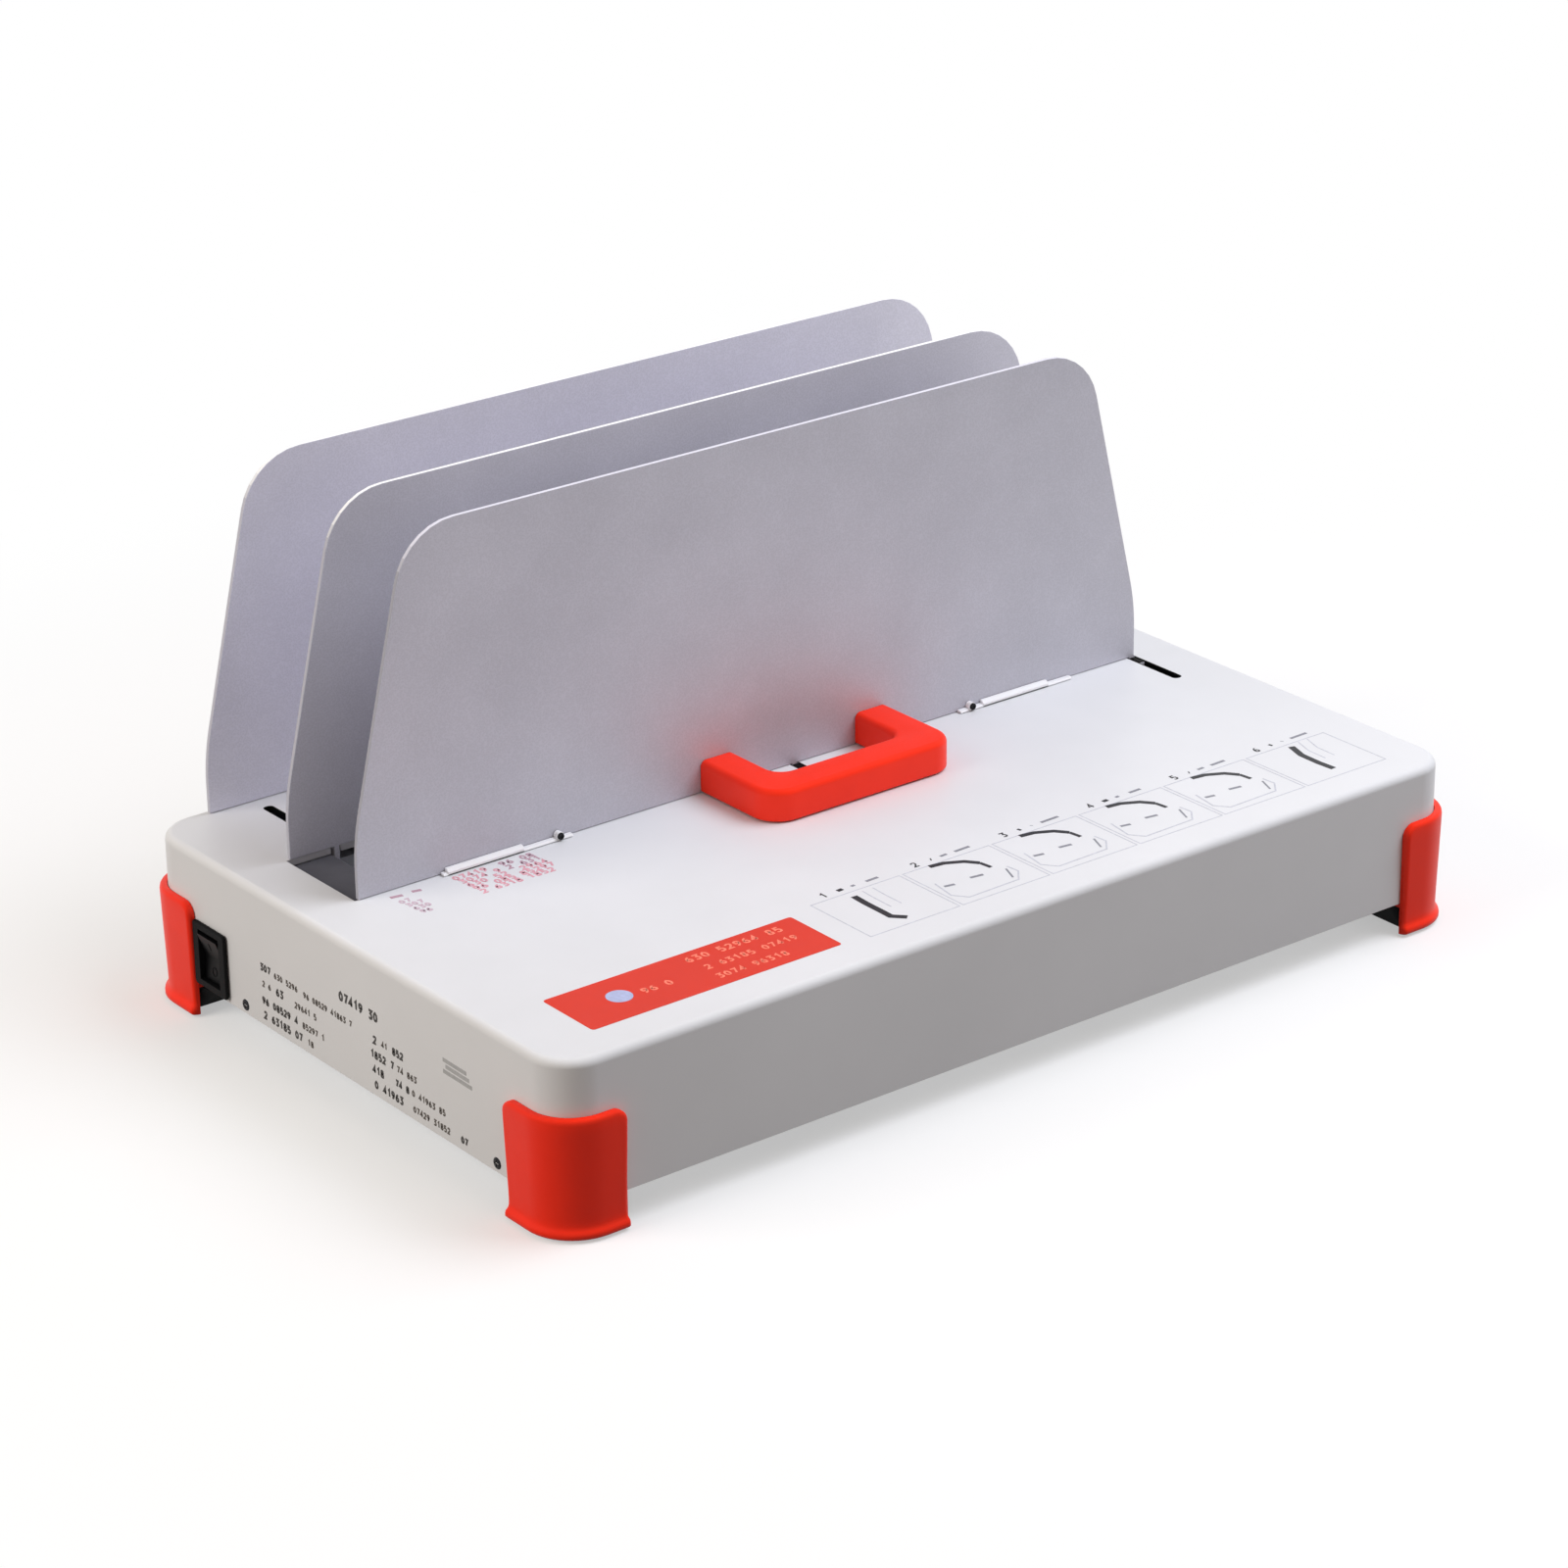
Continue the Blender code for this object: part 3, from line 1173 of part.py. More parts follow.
def make_pinion_post():
    """A headed post in the rack guide's floor, up through the pinion."""
    foot = PAN_SEAT_Z
    neck = GEAR_TOP_Z + HUB_RISE + GAP
    profile = [(0, foot), (POST_R, foot), (POST_R, neck), (POST_HEAD_R, neck)]
    profile += [(POST_HEAD_R, neck + POST_HEAD_T), (0, neck + POST_HEAD_T)]
    shape = bmesh.new()
    add_turned(shape, profile, (PINION_X, TROUGH_Y, 0), (0, 0, 1), ROUND_STEPS)
    return make_object("pinion_post", shape, "ground_steel")


def make_rack_guide():
    """A channel on the pan: a floor under the gears and a wall behind each rack that keeps it in mesh."""
    inner = RACK_OUTER + GAP
    outer = inner + GUIDE_T
    floor = GEAR_LOW_Z - GAP
    wall_top = GEAR_TOP_Z
    outline = [
        (-outer, PAN_SEAT_Z),
        (outer, PAN_SEAT_Z),
        (outer, wall_top),
        (inner, wall_top),
        (inner, floor),
        (-inner, floor),
        (-inner, wall_top),
        (-outer, wall_top),
    ]
    shape = bmesh.new()
    move = Matrix.Translation((PINION_X, 0, 0))
    add_prism(shape, outline, "Y", TROUGH_Y - GUIDE_LENGTH / 2, TROUGH_Y + GUIDE_LENGTH / 2, move)
    guide = make_object("rack_guide", shape, "acetal")
    hole = bmesh.new()
    place = (PINION_X, TROUGH_Y, 0)
    add_cylinder(hole, POST_R + GAP, PAN_SEAT_Z - OVERRUN, GEAR_LOW_Z + OVERRUN, place, (0, 0, 1))
    cut(guide, hole, "post_hole")
    return guide


def rack_outline(plate_y, out):
    """A rack in plan, its teeth towards the pinion at x = 0: a tooth lies at the pinion's height in Y."""
    inward = -out
    teeth_reach = TRAVEL + 2 * TOOTH_PITCH
    count = math.ceil(teeth_reach / TOOTH_PITCH)
    slope = math.tan(PRESSURE_ANGLE)
    root_x = PITCH_R + DEDENDUM
    tip_x = PITCH_R - MODULE
    half_tip = TOOTH_THICKNESS / 2 - MODULE * slope
    half_root = TOOTH_THICKNESS / 2 + DEDENDUM * slope
    start = plate_y + out * RISER_OUTER
    end = TROUGH_Y + inward * ((count + MID_STEP_SHARE) * TOOTH_PITCH)
    points = [(RACK_OUTER, start), (root_x, start)]
    for tooth in range(-count, count + 1):
        middle = TROUGH_Y + inward * tooth * TOOTH_PITCH
        points.append((root_x, middle - inward * half_root))
        points.append((tip_x, middle - inward * half_tip))
        points.append((tip_x, middle + inward * half_tip))
        points.append((root_x, middle + inward * half_root))
    points += [(root_x, end), (RACK_OUTER, end)]
    return points


def make_rack(name, plate_y, out, side):
    """A toothed bar under the heater tray, with a riser and a flange on the carriage's outer face."""
    shape = bmesh.new()
    outline = [(PINION_X + side * x, y) for x, y in rack_outline(plate_y, out)]
    add_prism(shape, outline, "Z", GEAR_LOW_Z, GEAR_TOP_Z)
    rack = make_object(name, shape, "acetal")

    arm = bmesh.new()
    near_x, far_x = sorted((PINION_X + side * (PITCH_R + DEDENDUM), PINION_X + side * RACK_OUTER))
    riser_near, riser_far = sorted((plate_y + out * RISER_INNER, plate_y + out * RISER_OUTER))
    flange_near, flange_far = sorted((plate_y + out * (BAR_OUTER + GAP), plate_y + out * RISER_OUTER))
    profile = [
        (riser_near, GEAR_LOW_Z),
        (riser_far, GEAR_LOW_Z),
        (riser_far, BAR_HIGH_Z),
        (flange_near if out > 0 else flange_far, BAR_HIGH_Z),
        (flange_near if out > 0 else flange_far, BAR_LOW_Z),
        (riser_near, BAR_LOW_Z),
    ]
    if out < 0:
        profile = [
            (riser_far, GEAR_LOW_Z),
            (riser_near, GEAR_LOW_Z),
            (riser_near, BAR_HIGH_Z),
            (flange_far, BAR_HIGH_Z),
            (flange_far, BAR_LOW_Z),
            (riser_far, BAR_LOW_Z),
        ]
    add_prism(arm, profile, "X", near_x, far_x)
    fuse(rack, arm, "riser")

    flange = bmesh.new()
    middle_x = (near_x + far_x) / 2
    flange_t = RACK_RISER_T
    face_near, face_far = sorted((plate_y + out * (BAR_OUTER + GAP), plate_y + out * (BAR_OUTER + GAP + flange_t)))
    half = RACK_FLANGE_WIDTH / 2
    add_box(flange, (middle_x - half, face_near, BAR_LOW_Z + FUSE), (middle_x + half, face_far, BAR_HIGH_Z - FUSE))
    fuse(rack, flange, "flange")
    return rack


def make_heater_pan():
    """The heater's sheet tray on two bent legs, one at each end of the trough."""
    outer = bmesh.new()
    add_box(outer, (-TRAY_HALF_X, TRAY_FRONT_Y, TRAY_LOW_Z), (TRAY_HALF_X, TRAY_BACK_Y, TRAY_TOP_Z))
    tray = make_object("heater_pan", outer, "zinc_steel")
    hollow = bmesh.new()
    inner_x = TRAY_HALF_X - TRAY_WALL
    low = (-inner_x, TRAY_FRONT_Y + TRAY_WALL, TRAY_LOW_Z + TRAY_WALL)
    high = (inner_x, TRAY_BACK_Y - TRAY_WALL, TRAY_TOP_Z + OVERRUN)
    add_box(hollow, low, high)
    cut(tray, hollow, "hollow")
    legs = bmesh.new()
    for side in (-1, 1):
        face = TRAY_HALF_X - TRAY_WALL
        outline = [
            (side * face, TRAY_LOW_Z + TRAY_WALL / 2),
            (side * face, PAN_SEAT_Z),
            (side * (face + LEG_FOOT), PAN_SEAT_Z),
            (side * (face + LEG_FOOT), PAN_SEAT_Z + LEG_T),
            (side * (face + LEG_T), PAN_SEAT_Z + LEG_T),
            (side * (face + LEG_T), TRAY_LOW_Z + TRAY_H / 2),
            (side * face, TRAY_LOW_Z + TRAY_H / 2),
        ]
        outline.pop(0)
        add_prism(legs, outline, "Y", TROUGH_Y - LEG_DEPTH / 2, TROUGH_Y + LEG_DEPTH / 2)
    fuse(tray, legs, "legs")
    return tray


def heater_layer(name, low_z, thickness, finish, edge=0):
    half_x = TRAY_HALF_X - TRAY_WALL - HEATER_MARGIN
    half_y = TRAY_DEPTH / 2 - TRAY_WALL - HEATER_MARGIN
    shape = bmesh.new()
    add_box(shape, (-half_x, TROUGH_Y - half_y, low_z), (half_x, TROUGH_Y + half_y, low_z + thickness))
    layer = make_object(name, shape, finish)
    if edge:
        soften(layer, edge, 2)
    return layer


def make_thermostat():
    """A disc thermostat with two ears, under the tray."""
    top = TRAY_LOW_Z - GAP
    shape = bmesh.new()
    place = (THERMOSTAT_X, TROUGH_Y, 0)
    neck = THERMOSTAT_R - THERMOSTAT_EAR_T
    profile = [(0, top - THERMOSTAT_H), (neck, top - THERMOSTAT_H), (THERMOSTAT_R, top - THERMOSTAT_H + GAP)]
    profile += [(THERMOSTAT_R, top - THERMOSTAT_EAR_T / 2), (0, top - THERMOSTAT_EAR_T / 2)]
    add_turned(shape, profile, place, (0, 0, 1), ROUND_STEPS)
    body = make_object("thermostat", shape, "black_plastic")
    ears = bmesh.new()
    outline = rounded_rectangle(THERMOSTAT_EAR_HALF, THERMOSTAT_R / 2, THERMOSTAT_R / 2 - GAP, EDGE_STEPS)
    add_prism(ears, outline, "Z", top - THERMOSTAT_EAR_T, top, Matrix.Translation(place))
    fuse(body, ears, "ears")
    return body


def make_thermal_fuse():
    """A round thermal fuse in its clip, under the tray."""
    top = TRAY_LOW_Z - GAP
    shape = bmesh.new()
    place = (FUSE_X - FUSE_LENGTH / 2, TROUGH_Y, top - FUSE_CLIP_T / 2 - FUSE_R)
    add_cylinder(shape, FUSE_R, 0, FUSE_LENGTH, place, (1, 0, 0), SMALL_ROUND_STEPS)
    body = make_object("thermal_fuse", shape, "ground_steel")
    clip = bmesh.new()
    half = FUSE_LENGTH / 4
    add_box(clip, (FUSE_X - half, TROUGH_Y - 2 * FUSE_R, top - FUSE_CLIP_T), (FUSE_X + half, TROUGH_Y + 2 * FUSE_R, top))
    fuse(body, clip, "clip")
    return body


def switch_body_box(spare, outer_x):
    """The switch's body behind its flange, grown by the spare on its sides."""
    half_y = SWITCH_WIDTH / 2 - SWITCH_RIM + spare
    half_z = SWITCH_H / 2 - SWITCH_RIM + spare
    inner_x = -HALF_WIDTH + SWITCH_BODY_DEPTH + spare
    return (outer_x, SWITCH_Y - half_y, SWITCH_Z - half_z), (inner_x, SWITCH_Y + half_y, SWITCH_Z + half_z)


def inlet_body_box(spare, outer_y):
    half_x = INLET_WIDTH / 2 - INLET_RIM + spare
    half_z = INLET_H / 2 - INLET_RIM + spare
    inner_y = HALF_DEPTH - INLET_BODY_DEPTH - spare
    return (INLET_X - half_x, inner_y, INLET_Z - half_z), (INLET_X + half_x, outer_y, INLET_Z + half_z)


def make_switch_bezel():
    """The switch's frame: a flange on the left face, a body inside, and the rocker's pocket with pivot seats."""
    face = -HALF_WIDTH - GAP
    shape = bmesh.new()
    outline = [(SWITCH_Y + u, SWITCH_Z + v) for u, v in rounded_rectangle(SWITCH_WIDTH / 2, SWITCH_H / 2, SWITCH_RIM / 2, 2)]
    add_prism(shape, outline, "X", face - SWITCH_PROUD, face)
    bezel = make_object("switch_bezel", shape, "black_plastic")
    soften(bezel, SWITCH_PROUD / 3, 2)
    body = bmesh.new()
    add_box(body, *switch_body_box(0, face - FUSE))
    fuse(bezel, body, "body")
    pocket = bmesh.new()
    low = (face - SWITCH_PROUD - OVERRUN, SWITCH_Y - POCKET_WIDTH / 2, SWITCH_Z - POCKET_H / 2)
    high = (face + SWITCH_POCKET_DEPTH, SWITCH_Y + POCKET_WIDTH / 2, SWITCH_Z + POCKET_H / 2)
    add_box(pocket, low, high)
    cut(bezel, pocket, "pocket")
    seats = bmesh.new()
    reach = POCKET_WIDTH / 2 + PIVOT_PIN_SEAT
    add_cylinder(seats, PIVOT_PIN_R + GAP, -reach, reach, (ROCKER_X, SWITCH_Y, SWITCH_Z), (0, 1, 0), SMALL_ROUND_STEPS)
    cut(bezel, seats, "pivot_seats")
    return bezel


def make_rocker():
    """The rocker, off at rest: a shallow V face, tilted about its pivot. Its origin is on the pivot's axis."""
    half_h = POCKET_H / 2 - ROCKER_SWING_GAP
    half_w = POCKET_WIDTH / 2 - ROCKER_GAP
    outline = [
        (-ROCKER_CREST, -half_h),
        (-ROCKER_DIP, 0),
        (-ROCKER_CREST, half_h),
        (ROCKER_BACK, half_h),
        (ROCKER_BELLY, half_h / 3),
        (ROCKER_BELLY, -half_h / 3),
        (ROCKER_BACK, -half_h),
    ]
    shape = bmesh.new()
    add_prism(shape, outline, "Y", -half_w, half_w)
    rocker = make_object("power_rocker", shape, "black_plastic")
    pins = bmesh.new()
    reach = POCKET_WIDTH / 2 + PIVOT_PIN_SEAT - GAP
    add_cylinder(pins, PIVOT_PIN_R, -reach, reach, (0, 0, 0), (0, 1, 0), SMALL_ROUND_STEPS)
    fuse(rocker, pins, "pins")
    for obj in bpy.data.objects:
        if obj.name.startswith("power_rocker"):
            obj.location = (ROCKER_X, SWITCH_Y, SWITCH_Z)
            obj.rotation_euler = (0, -ROCKER_TILT, 0)
    return rocker


def make_inlet():
    """The appliance inlet on the back face: a flange, a body, a socket with two cut corners and three pins."""
    face = HALF_DEPTH + GAP
    shape = bmesh.new()
    flange = rounded_rectangle(INLET_WIDTH / 2, INLET_H / 2, INLET_RIM, EDGE_STEPS)
    move = Matrix.Translation((INLET_X, 0, INLET_Z))
    add_prism(shape, flange, "Y", face, face + INLET_PROUD, move)
    inlet = make_object("mains_inlet", shape, "black_plastic")
    body = bmesh.new()
    add_box(body, *inlet_body_box(0, face + FUSE))
    fuse(inlet, body, "body")
    socket = bmesh.new()
    half_x, half_z, chamfer = SOCKET_WIDTH / 2, SOCKET_H / 2, SOCKET_CUT_CORNER
    outline = [
        (-half_x, -half_z),
        (half_x, -half_z),
        (half_x, half_z - chamfer),
        (half_x - chamfer, half_z),
        (chamfer - half_x, half_z),
        (-half_x, half_z - chamfer),
    ]
    mouth = face + INLET_PROUD
    add_prism(socket, outline, "Y", mouth - SOCKET_DEPTH, mouth + OVERRUN, move)
    cut(inlet, socket, "socket")
    pins = bmesh.new()
    floor = mouth - SOCKET_DEPTH
    for x, z in ((-PIN_SPACING, -PIN_OFFSET), (0, PIN_OFFSET), (PIN_SPACING, -PIN_OFFSET)):
        low = (INLET_X + x - PIN_T / 2, floor - FUSE, INLET_Z + z - PIN_H / 2)
        high = (INLET_X + x + PIN_T / 2, floor + PIN_LENGTH, INLET_Z + z + PIN_H / 2)
        add_box(pins, low, high)
    fuse(inlet, pins, "pins")
    return inlet


def make_board():
    shape = bmesh.new()
    outline = rounded_rectangle(BOARD_WIDTH / 2, BOARD_DEPTH / 2, BOARD_POST_R / 2, 2)
    add_prism(shape, outline, "Z", BOARD_LOW_Z, BOARD_TOP_Z, Matrix.Translation((BOARD_X, BOARD_Y, 0)))
    return make_object("control_board", shape, "board_green")


def box_on_board(x, y, size):
    half_x, half_y = size[0] / 2, size[1] / 2
    return (x - half_x, y - half_y, SEAT_ON_BOARD_Z), (x + half_x, y + half_y, SEAT_ON_BOARD_Z + size[2])


def make_transformer():
    """A laminated core with its coil former standing proud of it."""
    shape = bmesh.new()
    width, depth, height = TRANSFORMER_SIZE
    add_box(shape, *box_on_board(TRANSFORMER_X, BOARD_Y, (width, depth - 2 * TRANSFORMER_CORE, height)))
    core = make_object("transformer", shape, "dark_steel")
    coil = bmesh.new()
    inner = (width - 2 * TRANSFORMER_CORE, depth, height - TRANSFORMER_CORE)
    add_box(coil, *box_on_board(TRANSFORMER_X, BOARD_Y, inner))
    fuse(core, coil, "coil")
    return core


def make_relay():
    shape = bmesh.new()
    add_box(shape, *box_on_board(RELAY_X, BOARD_Y - RELAY_SIZE[1] / 2, RELAY_SIZE))
    relay = make_object("power_relay", shape, "relay_blue")
    soften(relay, GAP * 2, 1)
    return relay


def make_terminal_block():
    """A row of screw terminals, open towards the leads."""
    shape = bmesh.new()
    low, high = box_on_board(TERMINAL_X, BOARD_Y, TERMINAL_SIZE)
    add_box(shape, low, high)
    block = make_object("terminal_block", shape, "terminal_green")
    ports = bmesh.new()
    half = TERMINAL_PORT / 2
    pitch = TERMINAL_SIZE[1] / TERMINAL_PORTS
    for index in range(TERMINAL_PORTS):
        y = low[1] + pitch * (index + MID_STEP_SHARE)
        z = (low[2] + high[2]) / 2
        add_box(ports, (low[0] - OVERRUN, y - half, z - half), (low[0] + half, y + half, z + half))
    cut(block, ports, "ports")
    return block


def make_capacitor():
    shape = bmesh.new()
    rim = CAPACITOR_R / 6
    low, high = SEAT_ON_BOARD_Z, SEAT_ON_BOARD_Z + CAPACITOR_H
    profile = [(0, low), (CAPACITOR_R, low), (CAPACITOR_R, high - rim), (CAPACITOR_R - rim, high), (0, high)]
    add_turned(shape, profile, (CAPACITOR_X, CAPACITOR_Y, 0), (0, 0, 1), ROUND_STEPS)
    return make_object("smoothing_capacitor", shape, "lead_grey")


def smooth_route(points):
    """Points about LEAD_STEP apart on a Catmull-Rom curve through the route."""
    knots = [Vector(point) for point in points]
    knots = [2 * knots[0] - knots[1]] + knots + [2 * knots[-1] - knots[-2]]
    route = []
    for before, start, end, after in zip(knots, knots[1:], knots[2:], knots[3:]):
        steps = max(2, math.ceil((end - start).length / LEAD_STEP))
        for step in range(steps):
            t = step / steps
            bend = (2 * before - 5 * start + 4 * end - after) * t**2 + (3 * start - before - 3 * end + after) * t**3
            route.append(start + ((end - before) * t + bend) / 2)
    return route + [knots[-2]]


def lead_point(carrier, x, y, z):
    place_x, place_y = LEAD_PLACES[carrier]
    return (place_x + x, place_y + y, z)


def make_lead(name, points):
    curve = bpy.data.curves.new(name, "CURVE")
    curve.dimensions = "3D"
    curve.bevel_depth = LEAD_R
    curve.bevel_resolution = LEAD_SIDES_RESOLUTION
    curve.use_fill_caps = True
    route = smooth_route([lead_point(*point) for point in points])
    spline = curve.splines.new("POLY")
    spline.points.add(len(route) - 1)
    for point, place in zip(spline.points, route):
        point.co = (*place, 1)
    lead = bpy.data.objects.new(name, curve)
    bpy.context.scene.collection.objects.link(lead)
    paint(lead, "lead_grey")
    return lead


def make_base():
    make_cover()
    make_pan()
    for name, side_x, side_y in corners_of_base():
        make_guard(name, side_x, side_y)
        make_foot(name, side_x, side_y)
        make_foot_screw(name)
    make_rear_plate()
    for name, side in (("left", -1), ("right", 1)):
        make_rear_plate_screw(name, side)
        make_rod(name, side)
        make_bracket(f"front_{name}", side, -1)
        make_bracket(f"rear_{name}", side, 1)


def make_heater():
    make_heater_pan()
    heater_layer("insulation_pad", INSULATION_LOW_Z, INSULATION_T, "glass_fibre")
    heater_layer("heater_mat", MAT_LOW_Z, MAT_T, "silicone")
    heater_layer("heating_plate", HOT_PLATE_LOW_Z, HOT_PLATE_T, "aluminium", HOT_PLATE_EDGE)
    make_thermostat()
    make_thermal_fuse()


def make_front_clamp():
    """What slides with the front plate. The slide's axis runs towards the front."""
    ears = (FRONT_INNER_EAR_X, FRONT_END_EAR_X)
    pieces = [
        make_sliding_plate("front_plate", FRONT_PLATE_Y, -1, ears, front_plate_holes()),
        make_carriage("front_carriage", FRONT_PLATE_Y, -1, ears, FRONT_BAR_RIGHT_X),
        make_rack("front_rack", FRONT_PLATE_Y, -1, 1),
        make_handle(),
    ]
    for name, side in (("left", -1), ("right", 1)):
        pieces.append(make_bush(f"carriage_bush_front_{name}", FRONT_PLATE_Y, -1, side))
        pieces.append(make_handle_screw(name, side))
        pieces.append(make_glide(name, side))
        pieces.append(make_glide_screw(name, side))
    carry(joint_empty("front_clamp_slide", (0, FRONT_PLATE_Y, ROD_Z), (0, -1, 0)), pieces)


def make_middle_clamp():
    """What slides with the middle plate, the opposite way."""
    ears = (-MIDDLE_EAR_X, MIDDLE_EAR_X)
    pieces = [
        make_sliding_plate("middle_plate", MIDDLE_PLATE_Y, 1, ears),
        make_carriage("middle_carriage", MIDDLE_PLATE_Y, 1, ears, BAR_END_X),
        make_rack("middle_rack", MIDDLE_PLATE_Y, 1, -1),
    ]
    for name, side in (("left", -1), ("right", 1)):
        pieces.append(make_bush(f"carriage_bush_middle_{name}", MIDDLE_PLATE_Y, 1, side))
    carry(joint_empty("middle_clamp_slide", (0, MIDDLE_PLATE_Y, ROD_Z), (0, 1, 0)), pieces)


def make_mechanism():
    make_rack_guide()
    make_pinion_post()
    make_pinion()


def make_electrics():
    make_switch_bezel()
    make_rocker()
    make_inlet()
    make_board()
    make_transformer()
    make_relay()
    make_terminal_block()
    make_capacitor()
    for name, points in LEAD_ROUTES.items():
        make_lead(name, points)


def main():
    clear_scene()
    make_base()
    make_heater()
    make_front_clamp()
    make_middle_clamp()
    make_mechanism()
    make_electrics()


if __name__ == "__main__":
    main()
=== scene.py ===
"""Looks of a table-top thermal binding machine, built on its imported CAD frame. Everything is in metres."""

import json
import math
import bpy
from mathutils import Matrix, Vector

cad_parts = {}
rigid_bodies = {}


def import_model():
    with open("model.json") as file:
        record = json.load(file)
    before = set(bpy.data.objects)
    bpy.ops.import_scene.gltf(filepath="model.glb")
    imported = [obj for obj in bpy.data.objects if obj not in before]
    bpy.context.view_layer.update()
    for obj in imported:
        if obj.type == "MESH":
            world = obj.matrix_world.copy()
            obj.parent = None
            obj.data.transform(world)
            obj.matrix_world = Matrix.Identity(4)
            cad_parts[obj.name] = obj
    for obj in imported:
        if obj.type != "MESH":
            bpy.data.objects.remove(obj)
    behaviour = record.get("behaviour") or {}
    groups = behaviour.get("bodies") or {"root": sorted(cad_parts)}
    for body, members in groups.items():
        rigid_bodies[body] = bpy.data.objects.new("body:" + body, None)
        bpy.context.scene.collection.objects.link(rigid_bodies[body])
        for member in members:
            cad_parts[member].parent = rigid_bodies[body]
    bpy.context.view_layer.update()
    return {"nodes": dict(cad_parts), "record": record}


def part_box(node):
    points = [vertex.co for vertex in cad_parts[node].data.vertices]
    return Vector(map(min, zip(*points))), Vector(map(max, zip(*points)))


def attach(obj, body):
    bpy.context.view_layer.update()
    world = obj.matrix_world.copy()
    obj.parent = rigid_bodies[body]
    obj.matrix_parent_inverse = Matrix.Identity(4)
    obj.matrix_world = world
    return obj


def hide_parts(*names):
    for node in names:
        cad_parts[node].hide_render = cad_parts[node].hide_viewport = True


bl_info = {
    "name": "Thermal binding machine",
    "version": (1, 0, 0),
    "blender": (4, 5, 0),
    "location": "3D View > Sidebar > Binder",
    "description": "Dresses the CAD frame of a thermal binding machine and sets its stage",
    "category": "Object",
}

import bmesh
import bpy
from bpy.props import FloatProperty, FloatVectorProperty, PointerProperty
from mathutils import Matrix, Vector

for startup_object in list(bpy.data.objects):
    bpy.data.objects.remove(startup_object, do_unlink=True)

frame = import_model()
MM = 0.001
# Points nearer to each other than this are one
SAME = MM / 1000

HOUSING_LOW, HOUSING_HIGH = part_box("top_cover")
GUARD_LOW, GUARD_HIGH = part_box("corner_guard_front_right")
HANDLE_LOW, HANDLE_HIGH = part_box("clamp_handle")
PANEL_Z = HOUSING_HIGH.z
CORNERS = {"front_left": (-1, -1), "front_right": (1, -1), "rear_left": (-1, 1), "rear_right": (1, 1)}


def linear(hex_colour):
    """An sRGB hex colour as the linear red, green and blue that shaders take."""
    values = [int(hex_colour[place : place + 2], 16) / 255 for place in (1, 3, 5)]
    return tuple(v / 12.92 if v <= 0.04045 else ((v + 0.055) / 1.055) ** 2.4 for v in values)


class BinderColours(bpy.types.PropertyGroup):
    """Colours that a user would change"""

    housing: FloatVectorProperty(
        name="Housing",
        description="Colour of the moulded white housing",
        subtype="COLOR",
        size=3,
        min=0,
        max=1,
        default=linear("#DEDFE3"),
    )
    accent: FloatVectorProperty(
        name="Accent",
        description="Colour of the corner guards and the clamp handle",
        subtype="COLOR",
        size=3,
        min=0,
        max=1,
        default=linear("#FF2C0C"),
    )
    plate: FloatVectorProperty(
        name="Plates",
        description="Colour of the silver coating on the three sheet plates",
        subtype="COLOR",
        size=3,
        min=0,
        max=1,
        default=linear("#C3C2CD"),
    )
    label: FloatVectorProperty(
        name="Label",
        description="Colour of the film label on the panel",
        subtype="COLOR",
        size=3,
        min=0,
        max=1,
        default=linear("#D83218"),
    )


class BinderSizes(bpy.types.PropertyGroup):
    """Sizes, and the lamps' power, that a user would change"""

    grain: FloatProperty(
        name="Housing grain",
        description="Width of one pit of the housing's moulded grain",
        default=0.9 * MM,
        min=0.1 * MM,
        max=5 * MM,
        precision=5,
        subtype="DISTANCE",
        unit="LENGTH",
    )
    ink: FloatProperty(
        name="Ink thickness",
        description="Thickness of the printed marks",
        default=0.05 * MM,
        min=0.01 * MM,
        max=0.5 * MM,
        precision=5,
        subtype="DISTANCE",
        unit="LENGTH",
    )
    film: FloatProperty(
        name="Film thickness",
        description="Thickness of the label's film",
        default=0.14 * MM,
        min=0.05 * MM,
        max=0.5 * MM,
        precision=5,
        subtype="DISTANCE",
        unit="LENGTH",
    )
    edge: FloatProperty(
        name="Sheet edge",
        description="Rounding of the plates' cut edges",
        default=0.35 * MM,
        min=0.05 * MM,
        max=0.7 * MM,
        precision=5,
        subtype="DISTANCE",
        unit="LENGTH",
    )
    lamp: FloatProperty(
        name="Lamp power",
        description="Power of the two soft lamps, before each one's own share",
        default=20,
        min=0,
        unit="POWER",
    )


# Materials


# The places of a Mix node's two colours and of its result, because its other sockets share their names
MIX_LOW, MIX_HIGH, MIX_RESULT = 6, 7, 2
# The scale of a Wave texture whose bands repeat once a metre
WAVE_SCALE = math.pi / 10


def add_node(tree, kind, inputs=None, **settings):
    """Adds a node with these settings. inputs gives each socket its value, or the output that feeds it."""
    node = tree.nodes.new(kind)
    for name, value in settings.items():
        setattr(node, name, value)
    for name, value in (inputs or {}).items():
        socket = node.inputs[name]
        if isinstance(value, bpy.types.NodeSocket):
            tree.links.new(value, socket)
        else:
            socket.default_value = value
    return node


def start_material(name, colour, roughness, metallic=0.0, **sockets):
    """A material with its shader and its place on the piece, in metres."""
    material = bpy.data.materials.new(name)
    material.use_nodes = True
    tree = material.node_tree
    shader = tree.nodes["Principled BSDF"]
    shader.inputs["Base Color"].default_value = (*colour, 1)
    shader.inputs["Roughness"].default_value = roughness
    shader.inputs["Metallic"].default_value = metallic
    for title, value in sockets.items():
        shader.inputs[title.replace("_", " ")].default_value = value
    material.diffuse_color = (*colour, 1)
    place = add_node(tree, "ShaderNodeTexCoord").outputs["Object"]
    return material, tree, shader, place


